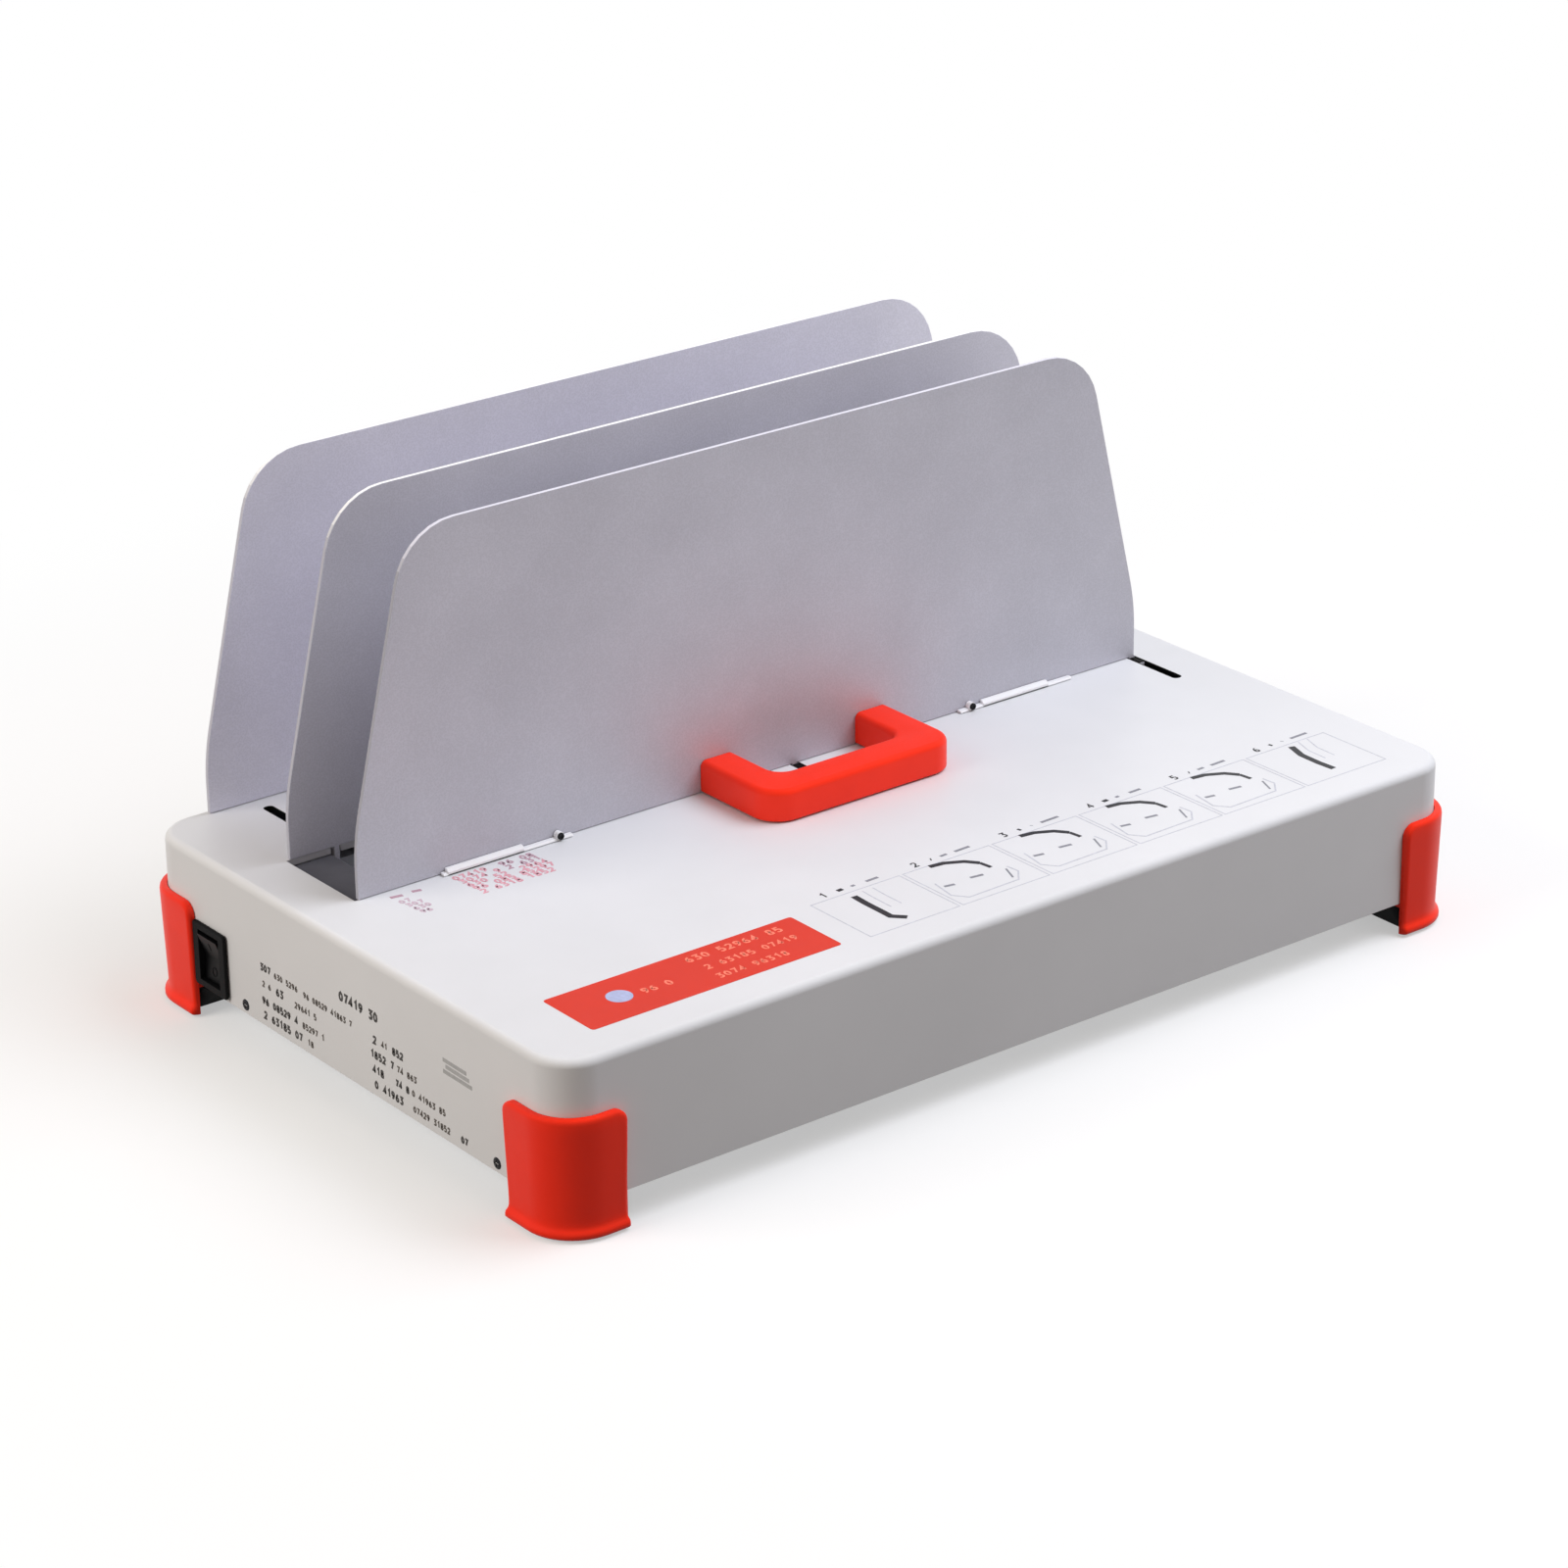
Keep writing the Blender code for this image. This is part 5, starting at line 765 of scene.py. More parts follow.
class BINDER_OT_housing(bpy.types.Operator):
    """Finish the housing, its floor pan and side screws, and line its slots and the trough's ends with dark
    pieces of painted shade
    """

    bl_idname = "binder.housing"
    bl_label = "Housing"

    def execute(self, context):
        refine("top_cover", material_once(moulded_abs_white), 0.35 * MM)
        refine("base_pan", material_once(galvanised_sheet))
        self.side_screws()
        self.slot_shade_trims()
        self.trough_shade_leaves()
        self.slot_shade_shutters()
        return {"FINISHED"}

    def slot_shade_trims(self):
        """Black trims that line the walls of the panel's four slots, clear of the plates' ears. Their black
        is painted shade that keeps the slots dark.
        """
        shape = bmesh.new()
        half, wall = 2.08 * MM, 0.4 * MM
        outer_r, inner_r = 1.75 * MM, 1.4 * MM
        low, high = PANEL_Z - 2.45 * MM, PANEL_Z - 0.06 * MM
        slots = [(x, 68.5 * MM, 113.28 * MM, -1) for x in MIDDLE_EARS]
        slots += [(x, 23.7 * MM, -3.38 * MM, 1) for x in FRONT_EARS]
        for x, mouth, end, inward in slots:
            inner = end + inward * wall
            corners = [
                (x - half, mouth, 0),
                (x - half, end, outer_r),
                (x + half, end, outer_r),
                (x + half, mouth, 0),
                (x + half - wall, mouth, 0),
                (x + half - wall, inner, inner_r),
                (x - half + wall, inner, inner_r),
                (x - half + wall, mouth, 0),
            ]
            slab(shape, rounded_outline(corners, steps=6), low, high)
        finish_piece("slot_shade_trims", shape, material_once(moulded_nylon_black), "base")

    def trough_shade_leaves(self):
        """Grey leaves just under the panel that close the trough's ends beyond the plates' ears, as painted
        shade where the trough is dark.
        """
        shape = bmesh.new()
        front, back = 25.0 * MM, 67.4 * MM
        low, high = PANEL_Z - 3.15 * MM, PANEL_Z - 2.55 * MM
        for left, right in ((-178.2 * MM, -160.3 * MM), (160.3 * MM, 173.1 * MM)):
            slab(shape, rectangle(left, front, right, back, MM), low, high)
        finish_piece("trough_end_shade_leaves", shape, material_once(painted_shade_sheet_grey), "base")

    def slot_shade_shutters(self):
        """Black leaves on the front carriage that keep its slots dark, and black caps on all the ears:
        painted shade in the slots.
        """
        black = material_once(moulded_nylon_black)
        leaf_half, foot_half = 2.6 * MM, 2 * MM
        foot_low, leaf_low, leaf_high = PANEL_Z - 6 * MM, PANEL_Z - 3.5 * MM, PANEL_Z - 2.9 * MM
        sunk = 0.02 * MM
        shape = bmesh.new()
        for x in FRONT_EARS:
            leaf = rectangle(x - leaf_half, -4.2 * MM, x + leaf_half, 17.2 * MM, MM)
            slab(shape, leaf, leaf_low, leaf_high)
            foot = rectangle(x - foot_half, 10.5 * MM, x + foot_half, 15 * MM)
            slab(shape, foot, foot_low, leaf_low + sunk)
            self.shade_ear_cap(shape, x, 17.7 * MM, 23.4 * MM)
        finish_piece("front_slot_shutters", shape, black, "front_clamp")
        caps = bmesh.new()
        for x in MIDDLE_EARS:
            self.shade_ear_cap(caps, x, 68.9 * MM, 74.6 * MM)
        finish_piece("middle_ear_caps", caps, black, "middle_clamp")

    def shade_ear_cap(self, target, x, near, far):
        """A thin cap on an ear's top, just under the panel's face, black as painted shade in its slot."""
        half = 1.1 * MM
        slab(target, rectangle(x - half, near, x + half, far), PANEL_Z - 0.32 * MM, PANEL_Z - 0.05 * MM)

    def side_screws(self):
        """Four small dark screws that pin the housing's sides to the pan's rim."""
        shape = bmesh.new()
        height = HOUSING_LOW.z + 3.4 * MM
        for side in (-1, 1):
            turn = Matrix.Rotation(side * math.pi / 2, 4, "Y")
            for along in (64.8 * MM, -88.5 * MM):
                place = Matrix.Translation((side * HOUSING_HIGH.x, along, height)) @ turn
                screw_head(shape, place, radius=2.1 * MM, rise=0.45 * MM, recess=0.8 * MM)
        finish_piece("housing_side_screws", shape, material_once(black_oxide_steel), "base")


def screw_head(target, matrix, radius, rise, recess):
    """A domed screw head on the plane Z = 0 with a cross recess cut into its top."""
    shape = bmesh.new()
    sunk, wall, flat, rings = 0.3 * MM, 0.2 * rise, 0.35 * radius, 5
    profile = [(0, -sunk), (radius, -sunk), (radius, wall)]
    for step in range(1, rings + 1):
        angle = math.pi / 2 * step / rings
        profile.append((flat + (radius - flat) * math.cos(angle), wall + (rise - wall) * math.sin(angle)))
    profile.append((0, rise))
    turned(shape, profile, steps=28)
    cutter = bmesh.new()
    arm, half = radius * 0.62, radius * 0.13
    for turn in (0, math.pi / 2):
        box = bmesh.new()
        bmesh.ops.create_cube(box, size=1)
        scale = Matrix.Diagonal((2 * arm, 2 * half, 2 * recess, 1))
        join_shape(cutter, box, Matrix.Translation((0, 0, rise)) @ Matrix.Rotation(turn, 4, "Z") @ scale)
    head, cross = (bpy.data.objects.new(title, bpy.data.meshes.new(title)) for title in ("head", "cross"))
    shape.to_mesh(head.data)
    cutter.to_mesh(cross.data)
    shape.free()
    cutter.free()
    for obj in (head, cross):
        bpy.context.scene.collection.objects.link(obj)
    boolean = head.modifiers.new("recess", "BOOLEAN")
    boolean.object = cross
    boolean.solver = "EXACT"
    boolean.use_self = True
    bpy.context.view_layer.update()
    evaluated = head.evaluated_get(bpy.context.evaluated_depsgraph_get())
    result = bmesh.new()
    result.from_mesh(evaluated.to_mesh())
    evaluated.to_mesh_clear()
    for obj in (head, cross):
        mesh = obj.data
        bpy.data.objects.remove(obj)
        bpy.data.meshes.remove(mesh)
    join_shape(target, result, matrix)


# Plates, handle and glides


class BINDER_OT_plates(bpy.types.Operator):
    """Finish the three sheet plates with their coating and softly broken edges"""

    bl_idname = "binder.plates"
    bl_label = "Sheet plates"

    def execute(self, context):
        # The three plates have one coat. Each share lightens it as painted light, so the rear plate is
        # painted the palest of the three.
        for node, share in (("front_plate", 0.95), ("middle_plate", 1.24), ("rear_plate", 1.36)):
            coat = material_once(silver_powder_coat, f"powder_coat_{node}", share)
            refine(node, coat, context.scene.binder_sizes.edge)
        return {"FINISHED"}


class BINDER_OT_handle(bpy.types.Operator):
    """Mould the U-shaped clamp handle with round edges"""

    bl_idname = "binder.handle"
    bl_label = "Clamp handle"

    def execute(self, context):
        low, high = HANDLE_LOW, HANDLE_HIGH
        leg, bar = 15 * MM, 15.5 * MM
        top_edge, low_edge = 2.4 * MM, 0.8 * MM
        corners = [
            (low.x, low.y, 11 * MM),
            (high.x, low.y, 11 * MM),
            (high.x, high.y, 0),
            (high.x - leg, high.y, 0),
            (high.x - leg, low.y + bar, 6 * MM),
            (low.x + leg, low.y + bar, 6 * MM),
            (low.x + leg, high.y, 0),
            (low.x, high.y, 0),
        ]
        shape = bmesh.new()
        extrude(shape, [(x, y, low.z) for x, y in rounded_outline(corners)], (0, 0, high.z - low.z))
        for height, width in ((high.z, top_edge), (low.z, low_edge)):
            rim = [
                item
                for item in level_edges(shape, height)
                if not all(abs(vert.co.y - high.y) < SAME for vert in item.verts)
            ]
            bmesh.ops.bevel(shape, geom=rim, offset=width, segments=6, profile=0.5, affect="EDGES")
        bmesh.ops.recalc_face_normals(shape, faces=shape.faces)
        orange = material_once(moulded_elastomer_orange)
        slot, replaced = "accent_orange", ["clamp_handle"]
        finish_piece("moulded_handle", shape, orange, "front_clamp", replaced, sharp=50)
        return {"FINISHED"}


class BINDER_OT_glides(bpy.types.Operator):
    """Finish the nylon glide strips at the front plate's foot"""

    bl_idname = "binder.glides"
    bl_label = "Glide strips"

    # The strip's front, back and foot
    front, back, low = 21.2 * MM, 23.4 * MM, 64.3 * MM

    def execute(self, context):
        # The rail stands a little further out on the left than on the right.
        for side, sign, near, far in (("left", -1, 110 * MM, 142 * MM), ("right", 1, 100 * MM, 132 * MM)):
            shape = bmesh.new()
            self.length(shape, sign, near, far, 2.1 * MM)
            self.length(shape, sign, 89 * MM, 143.8 * MM, 0.8 * MM)
            self.eye(shape, sign)
            node = f"plate_glide_{side}"
            white = material_once(moulded_nylon_white)
            finish_piece(f"{node}_rail", shape, white, "front_clamp", (node,))
        return {"FINISHED"}

    def length(self, target, sign, near, far, height):
        """One straight length of the strip, chamfered along its upper front edge."""
        high = self.low + height
        chamfer = min(0.7 * height, 1.1 * MM)
        profile = [
            (self.front, self.low),
            (self.back, self.low),
            (self.back, high),
            (self.front + chamfer, high),
            (self.front, high - chamfer),
        ]
        shape = bmesh.new()
        extrude(shape, [(sign * near, y, z) for y, z in profile], (sign * (far - near), 0, 0))
        join_shape(target, shape)

    def eye(self, target, sign):
        """The round eye near the strip's inner end that its screw goes through."""
        hole_r, outer_r, edge = 0.95 * MM, 1.5 * MM, 0.1 * MM
        depth = self.back - self.front
        ring = [
            (hole_r, 0),
            (outer_r - edge, 0),
            (outer_r, edge),
            (outer_r, depth),
            (hole_r, depth),
            (hole_r, 0),
        ]
        centre = (sign * 94.5 * MM, self.front, self.low + 1.5 * MM)
        place = Matrix.Translation(centre) @ Matrix.Rotation(-math.pi / 2, 4, "X")
        turned(target, ring, steps=28, matrix=place)


# Corner guards and feet


# How far each guard wraps along the front and along the side, and the radius of the housing's corners
GUARD_FRONT_WRAP, GUARD_SIDE_WRAP, CORNER_R = 25 * MM, 29 * MM, 15.5 * MM
# The guards' clearance from the housing's sides
GUARD_GAP = 0.3 * MM
# How far the moulded guards stand above their CAD forms
GUARD_RISE = 2.6 * MM


def guard_path(reach):
    """A place on the housing's corner in the first quadrant, and the way out from it, by arc length."""
    corner = CORNER_R
    flat = GUARD_FRONT_WRAP - corner
    arc = corner * math.pi / 2
    x, y = HOUSING_HIGH.x, HOUSING_HIGH.y
    if reach < flat:
        return Vector((x - GUARD_FRONT_WRAP + reach, y)), Vector((0, 1))
    if reach > flat + arc:
        return Vector((x, y - corner - (reach - flat - arc))), Vector((1, 0))
    angle = math.pi / 2 - (reach - flat) / corner
    out = Vector((math.cos(angle), math.sin(angle)))
    return Vector((x - corner, y - corner)) + corner * out, out


class BINDER_OT_guards(bpy.types.Operator):
    """Mould the four corner guards: waisted, lipped at the foot and rounded at their free edges"""

    bl_idname = "binder.guards"
    bl_label = "Corner guards"

    def execute(self, context):
        for corner, (side_x, side_y) in CORNERS.items():
            mirror = Matrix.Diagonal((side_x, side_y, 1, 1))
            shape = bmesh.new()
            join_shape(shape, self.strip(), mirror)
            join_shape(shape, self.ledge(), mirror)
            node = f"corner_guard_{corner}"
            orange = material_once(moulded_elastomer_orange)
            name = f"moulded_guard_{corner}"
            finish_piece(name, shape, orange, "base", [node], sharp=60)
        return {"FINISHED"}

    def profile(self):
        """The section from its inner foot, round its outer face, to its inner top.

        Each point has its distance from the housing, its height and how far the guard's ends draw in there.
        """
        low, high = GUARD_LOW.z, GUARD_HIGH.z
        return [
            (GUARD_GAP, low, 0),
            (2.3 * MM, low, 0),
            (3.1 * MM, low + 0.15 * MM, 0),
            (3.6 * MM, low + 0.7 * MM, 0),
            (3.6 * MM, low + 1.7 * MM, 0),
            (3.4 * MM, low + 2.4 * MM, 0.05 * MM),
            (2.8 * MM, low + 3.0 * MM, 0.2 * MM),
            (2.35 * MM, low + 3.6 * MM, 0.35 * MM),
            (2.15 * MM, low + 4.5 * MM, 0.45 * MM),
            (2.1 * MM, low + 6 * MM, 0.5 * MM),
            (2.2 * MM, low + 10 * MM, 0.5 * MM),
            (2.45 * MM, low + 18 * MM, 0.35 * MM),
            (2.75 * MM, low + 27 * MM, 0.15 * MM),
            (3.0 * MM, high - 5 * MM, 0),
            (3.1 * MM, high - 1.8 * MM, 0),
            (2.95 * MM, high - 0.9 * MM, 0),
            (2.6 * MM, high - 0.3 * MM, 0),
            (2.0 * MM, high, 0),
            (GUARD_GAP, high, 0),
        ]

    def strip(self):
        """The section swept round the corner, with rounded upper corners and thinner at its two ends."""
        top_r, end_r = 5 * MM, 1.4 * MM
        foot_height, thin_share = 8 * MM, 0.25
        end_steps, turn_steps = 10, 14
        flat, arc = GUARD_FRONT_WRAP - CORNER_R, CORNER_R * math.pi / 2
        length = flat + arc + GUARD_SIDE_WRAP - CORNER_R
        near = [top_r * (1 - math.cos(math.pi / 2 * step / end_steps)) for step in range(end_steps + 1)]
        turn = [flat + arc * step / turn_steps for step in range(turn_steps + 1)]
        stations = sorted(near + turn + [length - reach for reach in near])
        profile = self.profile()
        low, high = GUARD_LOW.z, GUARD_HIGH.z
        shape = bmesh.new()
        rings = []
        for reach in stations:
            edge = min(reach, length - reach)
            inward = max(0, top_r - edge)
            drop = top_r - math.sqrt(max(0, top_r**2 - inward**2))
            ends = max(0, end_r - edge) / end_r
            fullness = math.sqrt(max(0, 1 - ends**2))
            ring = []
            for offset, z, narrowing in profile:
                shift = narrowing * (1 - 2 * reach / length)
                place, out = guard_path(reach + shift)
                thickness = GUARD_GAP + (offset - GUARD_GAP) * (thin_share + (1 - thin_share) * fullness)
                share = max(0, (z - low - foot_height) / (high - low - foot_height))
                point = place + out * thickness
                ring.append(shape.verts.new((point.x, point.y, z + (GUARD_RISE - drop) * share)))
            rings.append(ring)
        skin(shape, rings)
        close_ends(shape, rings)
        return shape

    def ledge(self):
        """The flange under the housing that the foot's screw holds."""
        lap, thickness = 0.4 * MM, 1.2 * MM
        inner_x, inner_y = HOUSING_HIGH.x - GUARD_FRONT_WRAP, HOUSING_HIGH.y - GUARD_SIDE_WRAP
        outer_x, outer_y = HOUSING_HIGH.x + lap, HOUSING_HIGH.y + lap
        corners = [
            (inner_x, inner_y, 2 * MM),
            (outer_x, inner_y, 0),
            (outer_x, outer_y, CORNER_R),
            (inner_x, outer_y, 0),
        ]
        shape = bmesh.new()
        top = HOUSING_LOW.z - GUARD_GAP
        slab(shape, rounded_outline(corners), top - thickness, top)
        return shape


class BINDER_OT_feet(bpy.types.Operator):
    """Mould the four rubber feet: drawn in towards the floor, with a well for the screw"""

    bl_idname = "binder.feet"
    bl_label = "Rubber feet"

    def execute(self, context):
        for corner, (side_x, side_y) in CORNERS.items():
            shape = bmesh.new()
            join_shape(shape, self.foot(corner), Matrix.Diagonal((side_x, side_y, 1, 1)))
            node = f"rubber_foot_{corner}"
            rubber = material_once(moulded_rubber_black)
            finish_piece(f"moulded_foot_{corner}", shape, rubber, "base", [node])
        return {"FINISHED"}

    def outline(self, inset_x, inset_y, side_inset, inner_r):
        """A level section in the first quadrant, by its sides' distances from the housing's sides in mm."""
        inner_x, inner_y = HOUSING_HIGH.x - inset_x * MM, HOUSING_HIGH.y - inset_y * MM
        outer_x, outer_y = HOUSING_HIGH.x - side_inset * MM, HOUSING_HIGH.y - side_inset * MM
        radius = inner_r * MM
        corners = [
            (inner_x, inner_y, radius),
            (outer_x, inner_y, radius),
            (outer_x, outer_y, CORNER_R - side_inset * MM),
            (inner_x, outer_y, radius),
        ]
        return rounded_outline(corners)

    def foot(self, corner):
        """A foot in the first quadrant. Its inner sides slope, and the screw's head sits up in the well."""
        low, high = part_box(f"rubber_foot_{corner}")
        screw_low, screw_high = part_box(f"foot_screw_{corner}")
        x, y = (abs(screw_low[axis] + screw_high[axis]) / 2 for axis in (0, 1))
        seat = screw_low.z + 2.7 * MM
        head_r, shank_r = 3.9 * MM, 1.9 * MM
        shape = bmesh.new()
        sections = (
            (low.z, 19.0, 22.0, 2.9, 1.9),
            (low.z + 0.15 * MM, 19.35, 22.35, 2.55, 1.9),
            (low.z + 0.5 * MM, 19.5, 22.5, 2.4, 1.9),
            (high.z, 26.0, 34.5, 1.2, 5.0),
        )
        well = ((head_r, low.z), (head_r, seat), (shank_r, seat), (shank_r, high.z))
        outer = [[shape.verts.new((*point, z)) for point in self.outline(*sizes)] for z, *sizes in sections]
        inner = [
            [shape.verts.new((*point, z)) for point in oval(x, y, radius, radius, sides=32)]
            for radius, z in well
        ]
        skin(shape, outer)
        skin(shape, inner)
        for end in (0, -1):
            rims = [
                item
                for item in shape.edges
                if any(all(vert in ring for vert in item.verts) for ring in (outer[end], inner[end]))
            ]
            bmesh.ops.triangle_fill(shape, use_beauty=True, edges=rims)
        return shape


# Screws


# The shank's radius and the head's height of each kind of screw, in mm
SCREW_SIZES = {"foot": (1.6, 2.4), "rear": (1.3, 1.8), "handle": (1.3, 0.9), "glide": (0.6, 0.7)}


class BINDER_OT_screws(bpy.types.Operator):
    """Make the cross-head screws in place of their plain CAD forms"""

    bl_idname = "binder.screws"
    bl_label = "Screws"

    def execute(self, context):
        for corner in CORNERS:
            self.screw(f"foot_screw_{corner}", "base", (0, 0, 1), zinc_plated_steel, "zinc_steel")
        for side in ("left", "right"):
            self.screw(f"rear_plate_screw_{side}", "base", (0, 1, 0), zinc_plated_steel, "zinc_steel")
            self.screw(f"handle_screw_{side}", "front_clamp", (0, -1, 0), zinc_plated_steel, "zinc_steel")
            self.screw(f"glide_screw_{side}", "front_clamp", (0, 1, 0), black_oxide_steel, "dark_steel")
        return {"FINISHED"}

    def screw(self, node, body, way, finish, slot):
        """A cross-head screw that fills the node's box: the way runs from its head to its tip."""
        low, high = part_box(node)
        way = Vector(way)
        centre = (low + high) / 2
        length = abs((high - low).dot(way))
        across = sorted(high - low)
        head_r = across[-2] / 2 if across[-1] == length else across[-1] / 2
        start = centre - way * length / 2
        shank_r, head_t = (size * MM for size in SCREW_SIZES[node.split("_")[0]])
        turn = (-way).to_track_quat("Z", "Y").to_matrix().to_4x4()
        place = Matrix.Translation(start + way * head_t) @ turn
        shape = bmesh.new()
        screw_head(shape, place, head_r, head_t, head_t * 0.6)
        root_r, pitch = shank_r * 0.78, shank_r * 0.55
        profile = [(0, -0.1 * MM), (shank_r * 0.8, -0.1 * MM)]
        reach = 0.3 * MM
        while reach < length - head_t - 2 * shank_r:
            profile += [(root_r, -reach), (shank_r, -reach - pitch * 0.4), (root_r, -reach - pitch * 0.8)]
            reach += pitch
        profile += [(root_r, -reach), (0.1 * MM, head_t - length), (0, head_t - length)]
        turned(shape, list(reversed(profile)), steps=20, matrix=place)
        name = node.replace("_screw", "_cross_screw")
        finish_piece(name, shape, material_once(finish), body, [node], sharp=30)


# Switch and inlet


class BINDER_OT_switch(bpy.types.Operator):
    """Finish the power switch and mould its on and off marks"""

    bl_idname = "binder.switch"
    bl_label = "Power switch"

    def execute(self, context):
        refine("switch_bezel", material_once(moulded_nylon_black), 0.25 * MM)
        refine("power_rocker", material_once(polished_nylon_black), 0.3 * MM)
        self.marks()
        return {"FINISHED"}

    def marks(self):
        """Raised marks on the rocker's two faces: a bar for on above, and a ring for off below."""
        joints = frame["record"]["behaviour"]["joints"]
        pivot = Vector(next(joint["pos_m"] for joint in joints if joint["name"] == "rocker_tilt"))
        tilt = Matrix.Rotation(math.radians(-8), 3, "Y")
        crest, dip, half = 3.4 * MM, 1.6 * MM, 8.95 * MM
        middle, raised = 5.2 * MM, 0.12 * MM
        shape = bmesh.new()
        for way in (1, -1):
            along = Vector((dip - crest, 0, way * half)).normalized()
            out = Vector((-half, 0, way * (dip - crest))).normalized()

            def on_face(u, v, w):
                return pivot + tilt @ (Vector((-dip, u, 0)) + along * v + out * w)

            if way > 0:
                bar = [(0, middle - 1.6 * MM), (0, middle + 1.6 * MM)]
                printed_line(shape, bar, 0.6 * MM, raised, on_face)
            else:
                ring = oval(0, middle, 1.4 * MM, 1.6 * MM, sides=24)
                printed_line(shape, [*ring, ring[0]], 0.55 * MM, raised, on_face)
        finish_piece("rocker_marks", shape, material_once(moulded_nylon_black), "rocker")


class BINDER_OT_inlet(bpy.types.Operator):
    """Finish the appliance inlet and sleeve its three pins in metal"""

    bl_idname = "binder.inlet"
    bl_label = "Appliance inlet"

    def execute(self, context):
        refine("mains_inlet", material_once(moulded_nylon_black), 0.3 * MM)
        low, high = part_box("mains_inlet")
        centre = (low + high) / 2
        floor = high.y - 15 * MM
        shape = bmesh.new()
        outline = [(u, -v) for u, v in rectangle(-1.12 * MM, -2.12 * MM, 1.12 * MM, 2.12 * MM, 0.3 * MM)]
        turn = Matrix.Rotation(-math.pi / 2, 4, "X")
        for x, z in ((-7, -2), (0, 2), (7, -2)):
            place = Matrix.Translation((centre.x + x * MM, floor, centre.z + z * MM)) @ turn
            slab(shape, outline, 0.1 * MM, 11.7 * MM, place, edge=0.6 * MM)
        finish_piece("inlet_pins", shape, material_once(nickel_plated_brass), "base")
        return {"FINISHED"}


# Works under the panel


class BINDER_OT_heater(bpy.types.Operator):
    """Finish the heater in its tray at the bottom of the trough"""

    bl_idname = "binder.heater"
    bl_label = "Heater"

    def execute(self, context):
        refine("heater_pan", material_once(galvanised_sheet))
        refine("insulation_pad", material_once(woven_glass_board))
        refine("heater_mat", material_once(vulcanised_silicone_red))
        refine("heating_plate", material_once(linished_aluminium))
        refine("thermostat", material_once(moulded_nylon_black), 0.2 * MM)
        refine("thermal_fuse", material_once(ground_steel, "ground_steel_fuse", (0.05, 1, 1)))
        return {"FINISHED"}


class BINDER_OT_slides(bpy.types.Operator):
    """Finish the carriages, rods, bushes, racks and pinion that move the clamp"""

    bl_idname = "binder.slides"
    bl_label = "Clamp slides"

    def execute(self, context):
        for node in ("front_carriage", "middle_carriage"):
            refine(node, material_once(extruded_aluminium), 0.3 * MM)
        for side in ("left", "right"):
            refine(f"guide_rod_{side}", material_once(ground_steel, "ground_steel_rod", (1, 0.02, 1)))
            for clamp in ("front", "middle"):
                refine(f"carriage_bush_{clamp}_{side}", material_once(moulded_acetal))
        for corner in CORNERS:
            refine(f"rod_bracket_{corner}", material_once(moulded_nylon_black), 0.3 * MM)
        for node in ("front_rack", "middle_rack", "rack_guide"):
            refine(node, material_once(moulded_acetal))
        refine("centring_pinion", material_once(moulded_acetal))
        refine("pinion_post", material_once(ground_steel, "ground_steel_post", (1, 1, 0.02)))
        return {"FINISHED"}


class BINDER_OT_electrics(bpy.types.Operator):
    """Finish the control board, its parts and the inner leads"""

    bl_idname = "binder.electrics"
    bl_label = "Electrics"

    def execute(self, context):
        refine("control_board", material_once(solder_mask_green))
        refine("transformer", material_once(laminated_iron), 0.4 * MM)
        for node, name, hex_colour, roughness in (
            ("power_relay", "moulded_polyester_blue", "#2B4C98", 0.35),
            ("terminal_block", "moulded_polyamide_green", "#2E7D46", 0.45),
        ):
            refine(node, material_once(moulded_case, name, hex_colour, roughness), 0.3 * MM)
        refine("smoothing_capacitor", material_once(extruded_pvc_sleeve), 0.3 * MM)
        for lead in ("inlet_lead", "switch_lead", "heater_lead"):
            refine(lead, material_once(extruded_pvc_sleeve))
        return {"FINISHED"}


# Prints


# The gap that keeps a print clear of the face under it
PRINT_GAP = 0.01 * MM


def on_panel(x, y, z):
    """The place at x and y on the panel, z above its face."""
    return Vector((x, y, PANEL_Z + PRINT_GAP + z))


def on_left_side(along, height, out):
    """The place on the housing's left side, by how far it is along the side, up and out from it."""
    return Vector((HOUSING_LOW.x - PRINT_GAP - out, along, height))


